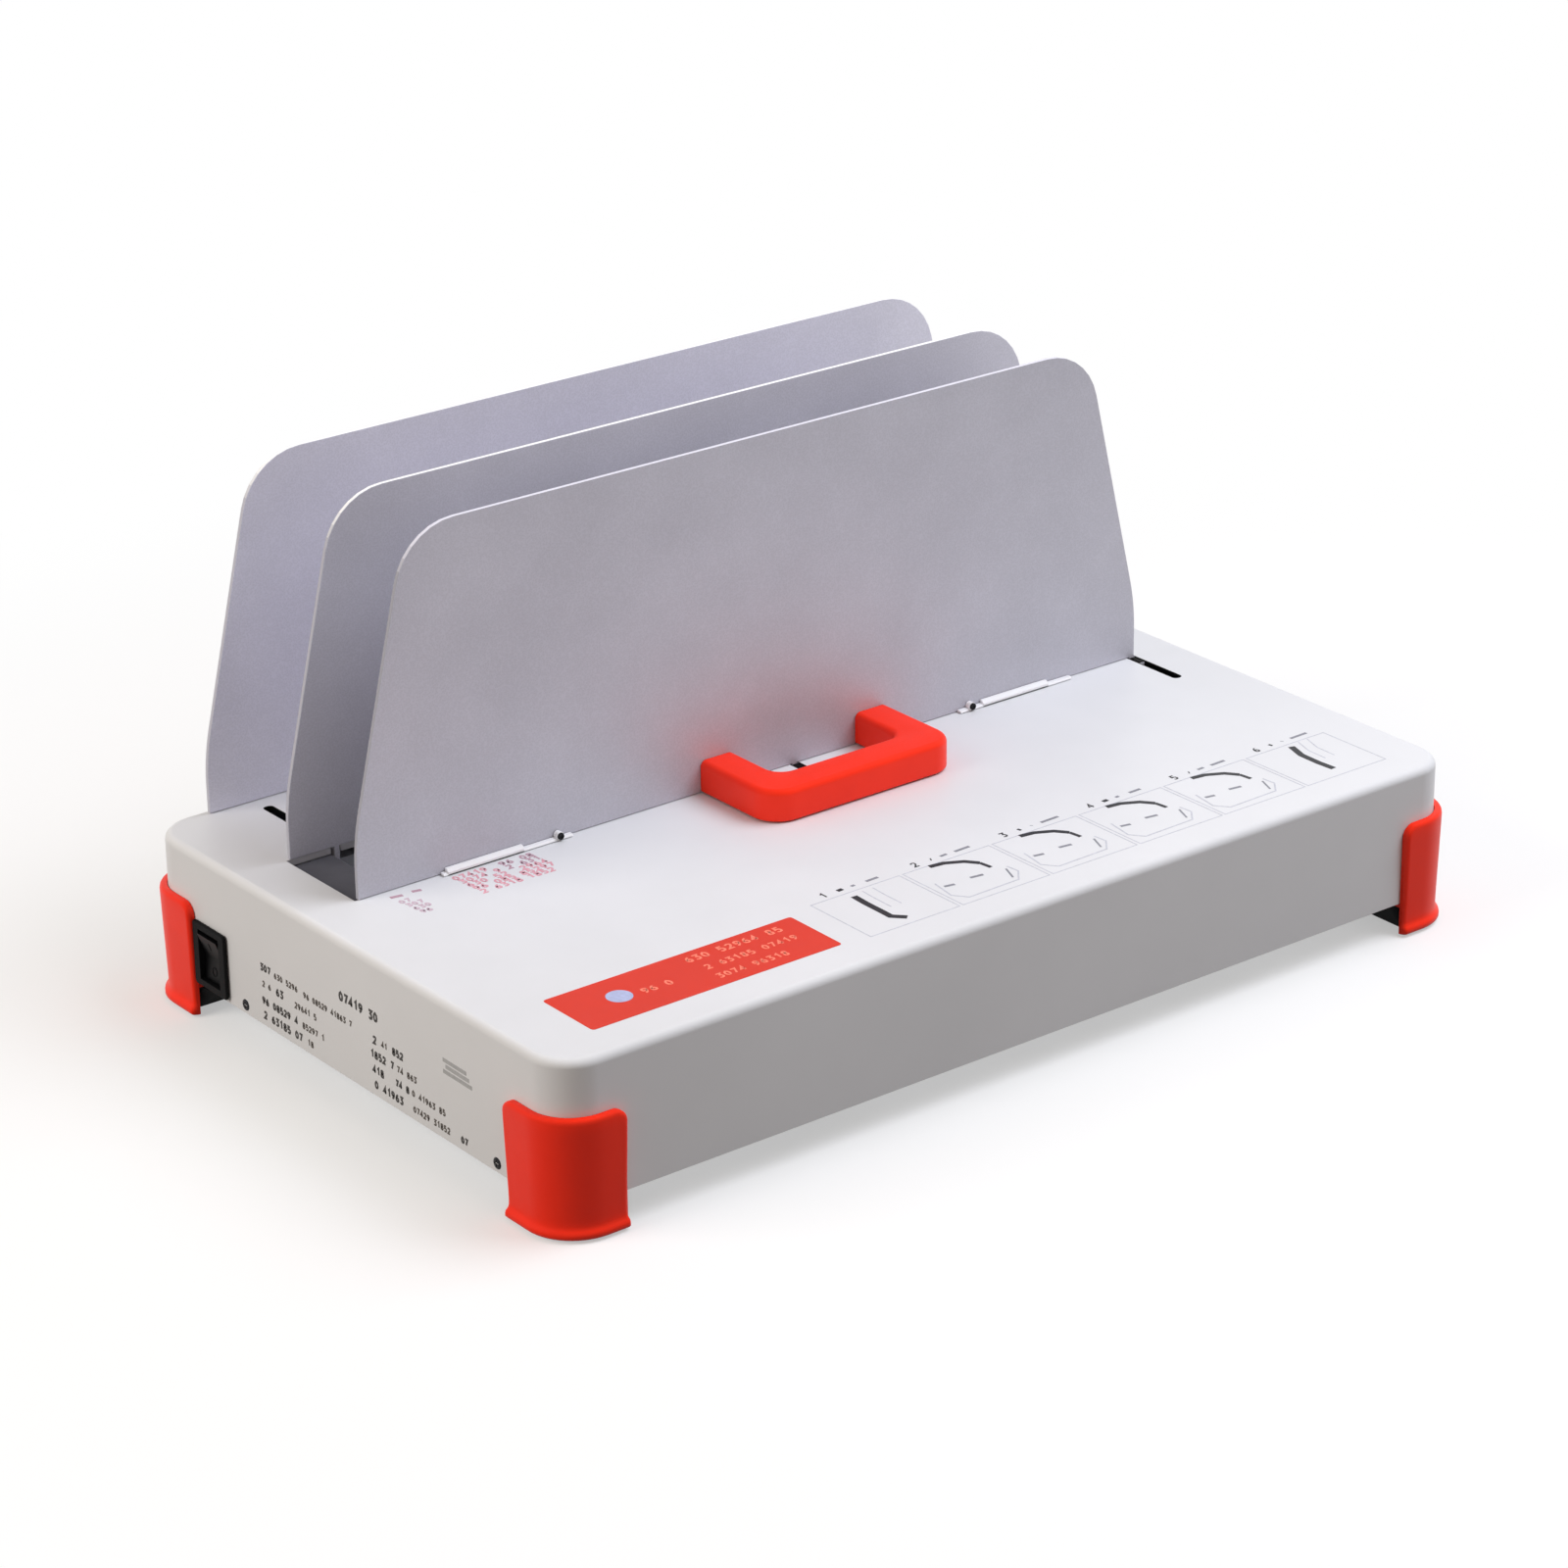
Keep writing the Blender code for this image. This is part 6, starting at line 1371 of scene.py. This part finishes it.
# One stroke for each digit, in a field that is 1 high
DIGITS = {
    "0": (
        *((0.36, 0), (0.08, 0.2), (0, 0.5), (0.08, 0.8), (0.36, 1)),
        *((0.64, 0.8), (0.72, 0.5), (0.64, 0.2), (0.36, 0)),
    ),
    "1": ((0.15, 0.75), (0.5, 1), (0.5, 0)),
    "2": ((0, 0.78), (0.15, 0.95), (0.4, 1), (0.65, 0.92), (0.7, 0.7), (0.55, 0.48), (0, 0), (0.75, 0)),
    "3": ((0, 1), (0.7, 1), (0.35, 0.6), (0.62, 0.5), (0.72, 0.28), (0.6, 0.08), (0.3, 0), (0, 0.1)),
    "4": ((0.55, 0), (0.55, 1), (0, 0.3), (0.8, 0.3)),
    "5": (
        *((0.65, 1), (0.1, 1), (0.05, 0.55), (0.35, 0.62), (0.65, 0.5)),
        *((0.72, 0.28), (0.6, 0.07), (0.3, 0), (0, 0.1)),
    ),
    "6": (
        *((0.6, 1), (0.25, 0.8), (0.03, 0.4), (0.1, 0.1), (0.38, 0)),
        *((0.65, 0.1), (0.7, 0.32), (0.55, 0.52), (0.3, 0.53), (0.06, 0.35)),
    ),
    "7": ((0, 1), (0.72, 1), (0.25, 0)),
    "8": (
        *((0.36, 0.53), (0.08, 0.68), (0.12, 0.92), (0.36, 1), (0.6, 0.92), (0.64, 0.68), (0.36, 0.53)),
        *((0.04, 0.33), (0.08, 0.08), (0.36, 0), (0.64, 0.08), (0.68, 0.33), (0.36, 0.53)),
    ),
    "9": (
        *((0.66, 0.65), (0.4, 0.47), (0.1, 0.5), (0.02, 0.72), (0.1, 0.93)),
        *((0.36, 1), (0.62, 0.9), (0.68, 0.6), (0.45, 0.2), (0.12, 0)),
    ),
}


def number_row(target, start, end, line, size, width, height, place, seed):
    """Plain numbers in groups of five along a printed line. The seed picks the digits and the first gap."""
    way = 1 if end > start else -1
    group = 5
    for index in range(int(abs(end - start) / size)):
        if (index + seed) % (group + 1) == group:
            continue
        digit = str((index * 7 + seed * 3 + index // 4) % 10)
        left = start + way * index * size
        points = [(left + way * u * size * 0.8, line + (v - 0.5) * size) for u, v in DIGITS[digit]]
        printed_line(target, points, width, height, place)


class BINDER_OT_label(bpy.types.Operator):
    """Lay the plain orange film label on the panel, with its rows of numbers and its plain disc"""

    bl_idname = "binder.label"
    bl_label = "Film label"

    def execute(self, context):
        film, ink = context.scene.binder_sizes.film, context.scene.binder_sizes.ink
        low, face = PANEL_Z + PRINT_GAP, PANEL_Z + PRINT_GAP + film
        shape = bmesh.new()
        outline = rectangle(-0.1746, -0.1086, -0.0718, -0.0805, 1.2 * MM)
        slab(shape, outline, low, face, edge=0.04 * MM, segments=1)
        finish_piece("film_label", shape, material_once(calendered_vinyl_orange), "base")

        def on_film(x, y, z):
            return on_panel(x, y, z + film)

        marks = bmesh.new()
        # Each row's start, end and place along Y in metres, its digits' size and stroke in mm, and its seed
        for start, end, line, size, width, seed in (
            (-0.1200, -0.0780, -0.0860, 3.4, 0.8, 2),
            (-0.1180, -0.0750, -0.0942, 3.0, 0.7, 4),
            (-0.1190, -0.0880, -0.1022, 3.0, 0.7, 1),
            (-0.1450, -0.1290, -0.0957, 3.2, 0.8, 3),
        ):
            number_row(marks, start, end, line, size * MM, width * MM, ink, on_film, seed)
        light = material_once(screen_ink, "screen_ink_coral", "#F4836C")
        finish_piece("label_numbers", marks, light, "base")
        disc = bmesh.new()
        radius = 4.6 * MM
        slab(disc, oval(-0.1532, -0.0938, radius, radius, sides=36), face, face + ink)
        pale = material_once(screen_ink, "screen_ink_disc", "#AFB7DA")
        finish_piece("label_disc", disc, pale, "base")
        return {"FINISHED"}


class BINDER_OT_steps(bpy.types.Operator):
    """Print the six numbered step sketches along the panel's front edge"""

    bl_idname = "binder.steps"
    bl_label = "Step sketches"

    def execute(self, context):
        ink = context.scene.binder_sizes.ink
        black, grey, pale = bmesh.new(), bmesh.new(), bmesh.new()
        left, right, front, back = -0.0615, 0.1810, -0.1100, -0.0775
        cells, inset = 6, 0.8 * MM
        pitch = (right - left) / cells
        for cell in range(cells):
            x0 = left + cell * pitch
            frame_lines(pale, (x0 + inset, front), (x0 + pitch - inset, back), 0.4 * MM, ink, on_panel)
            self.heading(black, grey, cell, x0, ink)
            if cell in (0, 5):
                self.standing_sheaf(black, pale, cell, x0, ink)
            else:
                self.open_sheaf(black, grey, pale, cell, x0, ink)
        for name, shape, colour, slot in (
            ("black", black, "#1F1F24", "black_plastic"),
            ("grey", grey, "#85868F", "plate_silver"),
            ("pale", pale, "#C2C4CE", "plate_silver"),
        ):
            material = material_once(screen_ink, f"screen_ink_{name}", colour)
            finish_piece(f"step_sketches_{name}", shape, material, "base")
        return {"FINISHED"}

    def heading(self, black, grey, cell, x0, ink):
        """The step's number, and a short broken rule beside it."""
        y = -74.0 * MM
        self.number(black, str(cell + 1), x0 + 8.2 * MM, y - 1.5 * MM, 3.2 * MM, ink)
        rules = ((15.2, 17.6, 1.7), (20.6, 23.6, 1.2), (26.4, 34.6, 1.3))
        for index, (start, end, width) in enumerate(rules):
            shift = (cell * 2 + index) % 3 * 0.7 * MM
            points = [(x0 + start * MM + shift, y), (x0 + end * MM - shift, y + 0.2 * MM)]
            printed_line(black if index == 0 else grey, points, width * MM, ink, on_panel)

    def number(self, target, digit, x, y, size, ink):
        """One digit, with its lower left corner at x and y."""
        points = [(x + u * size * 0.75, y + v * size) for u, v in DIGITS[digit]]
        printed_line(target, points, 0.6 * MM, ink, on_panel)

    def standing_sheaf(self, black, pale, cell, x0, ink):
        """A sheaf that stands on its spine: one bold stroke with a short foot, and a pale leaf behind it."""
        if cell == 0:
            bold = [(16.8, -81.0), (16.4, -88.5), (16.4, -97.0), (16.3, -101.5), (20.2, -105.6)]
        else:
            bold = [(21.2, -79.9), (18.6, -87.9), (18.4, -97.0), (18.9, -104.4)]
        points = [(x0 + u * MM, v * MM) for u, v in bold]
        printed_line(black, points, 2.6 * MM, ink, on_panel)
        for shift in (5.0, 9.5):
            leaf = [(u + shift * MM, v + 1.5 * MM) for u, v in points[:3]]
            printed_line(pale, leaf, 0.45 * MM, ink, on_panel)

    def open_sheaf(self, black, grey, pale, cell, x0, ink):
        """An open sheaf seen from its end: a bold arch over a plain tray with two short rules."""
        lean = (0, -0.6, 0.2, 0.4, 0.9, 0)[cell]
        bold = [(12.6, -78.4), (18.4, -79.2), (24.8, -82.6), (28.2, -86.9), (28.9, -92.2)]
        points = [(x0 + (u + lean) * MM, v * MM) for u, v in bold]
        printed_line(black, points[:4], 2.3 * MM, ink, on_panel)
        printed_line(black, points[3:], 1.6 * MM, ink, on_panel)
        for start, end in ((5.4, 9.4), (17.0, 22.2)):
            rule = [(x0 + start * MM, -94.4 * MM), (x0 + end * MM, -95.2 * MM)]
            printed_line(grey, rule, 1.3 * MM, ink, on_panel)
        tray = [(4.4, -90.5), (2.6, -101.5), (6.5, -106.5), (29.0, -106.0), (33.5, -100.5), (33.0, -95.0)]
        printed_line(pale, [(x0 + u * MM, v * MM) for u, v in tray], 0.6 * MM, ink, on_panel)
        leaf = [(31.4, -96.5), (28.6, -103.5)]
        printed_line(grey, [(x0 + u * MM, v * MM) for u, v in leaf], 0.7 * MM, ink, on_panel)


class BINDER_OT_numbers(bpy.types.Operator):
    """Print the rows of plain numbers beside the trough and on the left side"""

    bl_idname = "binder.numbers"
    bl_label = "Number rows"

    def execute(self, context):
        ink = context.scene.binder_sizes.ink
        self.panel_numbers(ink)
        self.side_numbers(ink)
        return {"FINISHED"}

    def finish(self, place, prints, slot):
        """Finishes each print as a piece of its own, in its own ink."""
        for name, shape, hex_colour in prints:
            material = material_once(screen_ink, f"screen_ink_{name}", hex_colour)
            finish_piece(f"{place}_numbers_{name}", shape, material, "base")

    def panel_numbers(self, ink):
        """Rows of plain rose numbers in front of the plate in three blocks, and two short rules."""
        rose, mauve, blush = bmesh.new(), bmesh.new(), bmesh.new()
        stroke = 0.8 * MM
        for row in range(5):
            y = 0.0180 - row * 3.7 * MM
            shift = row * 0.4 * MM
            size = 2.9 * MM
            number_row(rose, -0.1420 + shift, -0.1245 + shift, y, size, stroke, ink, on_panel, row)
            darker = mauve if row < 2 else rose
            number_row(darker, -0.1225 + shift, -0.1055 + shift, y, size, stroke, ink, on_panel, row + 3)
        for row, (start, end) in enumerate(((-0.1678, -0.1632), (-0.1592, -0.1558))):
            drop = row * 0.4 * MM
            printed_line(mauve, [(start, 0.0188 - drop), (end, 0.0180 - drop)], 1.7 * MM, ink, on_panel)
        for row in range(4):
            y = 0.0135 - row * 3.6 * MM
            start, end = -0.1672 + row * 0.5 * MM, -0.1600 + row * 1.3 * MM
            number_row(blush, start, end, y, 2.4 * MM, stroke, ink, on_panel, row)
        prints = (("rose", rose, "#DA9DAA"), ("mauve", mauve, "#B793A2"), ("blush", blush, "#C9B3C0"))
        self.finish("panel", prints, "accent_orange")

    def side_numbers(self, ink):
        """Rows of plain numbers on the left side in two columns, with a bold one and a grey stamp above."""
        dark, thin, stamp = bmesh.new(), bmesh.new(), bmesh.new()
        # Each row's start, end, height and digit size, in mm
        bold = (
            (3.0, -21.4, 42.7, 3.0),
            (53.4, 45.0, 35.3, 2.3),
            (43.8, 36.4, 29.0, 2.5),
            (53.2, 29.0, 22.5, 2.3),
            (52.6, 26.0, 17.0, 2.5),
            (-14.4, -20.6, 33.9, 2.6),
            (-28.6, -36.2, 33.9, 2.3),
            (-15.2, -30.0, 28.3, 2.4),
            (-16.0, -26.6, 22.6, 2.4),
            (-29.8, -38.6, 22.6, 2.1),
            (-16.9, -37.0, 17.0, 2.5),
            (-66.0, -73.4, 16.7, 2.1),
        )
        for row, (start, end, z, size) in enumerate(bold):
            stroke = (0.98 if row == 0 else 0.82) * MM
            number_row(dark, start * MM, end * MM, z * MM, size * MM, stroke, ink, on_left_side, row)
        light = (
            (44.6, 28.0, 34.9, 1.9),
            (26.0, -5.2, 34.4, 1.9),
            (52.6, 45.4, 29.0, 1.9),
            (34.0, 17.0, 28.4, 2.0),
            (27.6, 13.4, 22.3, 2.0),
            (24.8, 20.0, 16.9, 2.0),
            (-22.0, -27.0, 33.9, 1.9),
            (-31.0, -43.4, 28.2, 2.0),
            (-39.6, -60.2, 22.6, 2.0),
            (-38.0, -65.0, 16.8, 2.0),
        )
        for row, (start, end, z, size) in enumerate(light):
            number_row(thin, start * MM, end * MM, z * MM, size * MM, 0.62 * MM, ink, on_left_side, row + 2)
        for row, (start, end) in enumerate(((-58.8, -75.5), (-60.3, -73.9), (-58.8, -72.3))):
            z = 38.4 + row * 2.1
            rule = [(start * MM, z * MM), (end * MM, (z - 0.2) * MM)]
            printed_line(stamp, rule, 1.5 * MM, ink, on_left_side)
        prints = (("umber", dark, "#28231F"), ("brown", thin, "#4A423B"), ("stamp", stamp, "#A9AAAC"))
        self.finish("side", prints, "black_plastic")


# Stage


class BINDER_OT_stage(bpy.types.Operator):
    """Set the pale floor, the soft lamps and the camera at the photograph's angle"""

    bl_idname = "binder.stage"
    bl_label = "Stage"

    def execute(self, context):
        scene = context.scene
        scene.view_settings.view_transform = "Standard"
        self.floor(scene)
        self.sky(scene)
        lamp = scene.binder_sizes.lamp
        # Each lamp's name, place, target, width, share of the power and colour
        for name, place, target, size, share, hex_colour in (
            ("overhead_softbox", (0.76, -0.48, 1.34), (0, 0.02, 0.05), 1.2, 1.2, "#F1F6FF"),
            ("left_fill", (-1.6, 0.40, 0.92), (0, 0, 0.05), 1.1, 0.95, "#FFF9F0"),
        ):
            self.softbox(scene, name, place, target, size, share * lamp, hex_colour)
        self.camera(scene)
        return {"FINISHED"}

    def direct_rays(self, tree):
        """1 where a ray comes from the camera, a reflection or a clear body, and 0 where it carries light."""
        seen = add_node(tree, "ShaderNodeLightPath")
        mirrored = add_node(
            tree,
            "ShaderNodeMath",
            {0: seen.outputs["Is Camera Ray"], 1: seen.outputs["Is Glossy Ray"]},
            operation="MAXIMUM",
        )
        through = add_node(
            tree,
            "ShaderNodeMath",
            {0: mirrored.outputs["Value"], 1: seen.outputs["Is Transmission Ray"]},
            operation="MAXIMUM",
        )
        return through.outputs["Value"]

    def floor(self, scene):
        """A pale floor that keeps the machine's shadow close by and fades to plain white further out."""
        half = 12
        corners = [(-half, -half, 0), (half, -half, 0), (half, half, 0), (-half, half, 0)]
        mesh = bpy.data.meshes.new("studio_floor")
        mesh.from_pydata(corners, [], [(0, 1, 2, 3)])
        floor = bpy.data.objects.new("studio_floor", mesh)
        scene.collection.objects.link(floor)
        material, tree, shader, place = start_material("painted_floor", linear("#F6F6F7"), 0.9)
        floor.data.materials.append(material)
        direct = self.direct_rays(tree)
        distance = add_node(tree, "ShaderNodeVectorMath", {0: place}, operation="LENGTH")
        far = add_node(
            tree,
            "ShaderNodeMapRange",
            {"Value": distance.outputs["Value"], "From Min": 0.26, "From Max": 0.58, "To Min": 0.42},
            interpolation_type="SMOOTHSTEP",
        )
        away = add_node(tree, "ShaderNodeMath", {0: far.outputs["Result"], 1: direct}, operation="MULTIPLY")
        dim = add_node(tree, "ShaderNodeBsdfDiffuse", {"Color": (*linear("#58524E"), 1)})
        lit = add_node(
            tree, "ShaderNodeMixShader", {0: direct, 1: dim.outputs["BSDF"], 2: shader.outputs["BSDF"]}
        )
        white = add_node(tree, "ShaderNodeEmission", {"Color": (1, 1, 1, 1), "Strength": 1.0})
        whole = add_node(
            tree,
            "ShaderNodeMixShader",
            {0: away.outputs["Value"], 1: lit.outputs["Shader"], 2: white.outputs["Emission"]},
        )
        tree.links.new(whole.outputs["Shader"], tree.nodes["Material Output"].inputs["Surface"])

    def sky(self, scene):
        """White to the camera and to reflections, and a plain soft grey as light."""
        world = bpy.data.worlds.new("studio_sky")
        world.use_nodes = True
        scene.world = world
        tree = world.node_tree
        direct = self.direct_rays(tree)
        soft = tree.nodes["Background"]
        soft.inputs["Color"].default_value = (*linear("#FFF0DF"), 1)
        soft.inputs["Strength"].default_value = 0.34
        white = add_node(tree, "ShaderNodeBackground", {"Color": (1, 1, 1, 1), "Strength": 1.0})
        whole = add_node(
            tree,
            "ShaderNodeMixShader",
            {0: direct, 1: soft.outputs["Background"], 2: white.outputs["Background"]},
        )
        tree.links.new(whole.outputs["Shader"], tree.nodes["World Output"].inputs["Surface"])

    def softbox(self, scene, name, place, target, size, power, hex_colour):
        """A square soft lamp, turned to its target and hidden from the camera and from reflections."""
        light = bpy.data.lights.new(name, "AREA")
        light.shape = "SQUARE"
        light.size = size
        light.energy = power
        light.color = linear(hex_colour)
        lamp = bpy.data.objects.new(name, light)
        lamp.location = place
        lamp.rotation_euler = (Vector(target) - Vector(place)).to_track_quat("-Z", "Y").to_euler()
        lamp.visible_camera = False
        lamp.visible_glossy = False
        scene.collection.objects.link(lamp)

    def camera(self, scene):
        """The camera, with its place, turn and lens fitted to the edges in the photograph."""
        camera = bpy.data.cameras.new("photo_camera")
        camera.sensor_width = 36
        camera.lens = 108.26
        camera.clip_start, camera.clip_end = 0.05, 60
        holder = bpy.data.objects.new("photo_camera", camera)
        holder.location = (-0.9604, -1.2245, 0.7308)
        holder.rotation_euler = (1.1676, 0.0115, -0.6642)
        scene.collection.objects.link(holder)
        scene.camera = holder


class BINDER_PT_panel(bpy.types.Panel):
    """Lists the machine's pieces and their settings"""

    bl_idname = "BINDER_PT_panel"
    bl_label = "Thermal binding machine"
    bl_space_type = "VIEW_3D"
    bl_region_type = "UI"
    bl_category = "Binder"

    def draw(self, context):
        layout = self.layout
        for group in (context.scene.binder_colours, context.scene.binder_sizes):
            box = layout.box()
            for name in group.__annotations__:
                box.prop(group, name)
        column = layout.column(align=True)
        for operator in OPERATORS:
            column.operator(operator.bl_idname)


OPERATORS = (
    BINDER_OT_stage,
    BINDER_OT_housing,
    BINDER_OT_plates,
    BINDER_OT_handle,
    BINDER_OT_glides,
    BINDER_OT_guards,
    BINDER_OT_feet,
    BINDER_OT_screws,
    BINDER_OT_switch,
    BINDER_OT_inlet,
    BINDER_OT_heater,
    BINDER_OT_slides,
    BINDER_OT_electrics,
    BINDER_OT_label,
    BINDER_OT_steps,
    BINDER_OT_numbers,
)
CLASSES = (BinderColours, BinderSizes, *OPERATORS, BINDER_PT_panel)


def register():
    """Registers the classes and hangs the settings on the scene."""
    for item in CLASSES:
        bpy.utils.register_class(item)
    bpy.types.Scene.binder_colours = PointerProperty(type=BinderColours)
    bpy.types.Scene.binder_sizes = PointerProperty(type=BinderSizes)


def unregister():
    """Takes the settings and the classes out again."""
    del bpy.types.Scene.binder_sizes
    del bpy.types.Scene.binder_colours
    for item in reversed(CLASSES):
        bpy.utils.unregister_class(item)


def main():
    """Builds the scene in order."""
    register()
    bpy.ops.binder.stage()
    bpy.ops.binder.housing()
    bpy.ops.binder.plates()
    bpy.ops.binder.handle()
    bpy.ops.binder.glides()
    bpy.ops.binder.guards()
    bpy.ops.binder.feet()
    bpy.ops.binder.screws()
    bpy.ops.binder.switch()
    bpy.ops.binder.inlet()
    bpy.ops.binder.heater()
    bpy.ops.binder.slides()
    bpy.ops.binder.electrics()
    bpy.ops.binder.label()
    bpy.ops.binder.steps()
    bpy.ops.binder.numbers()


if __name__ == "__main__":
    main()
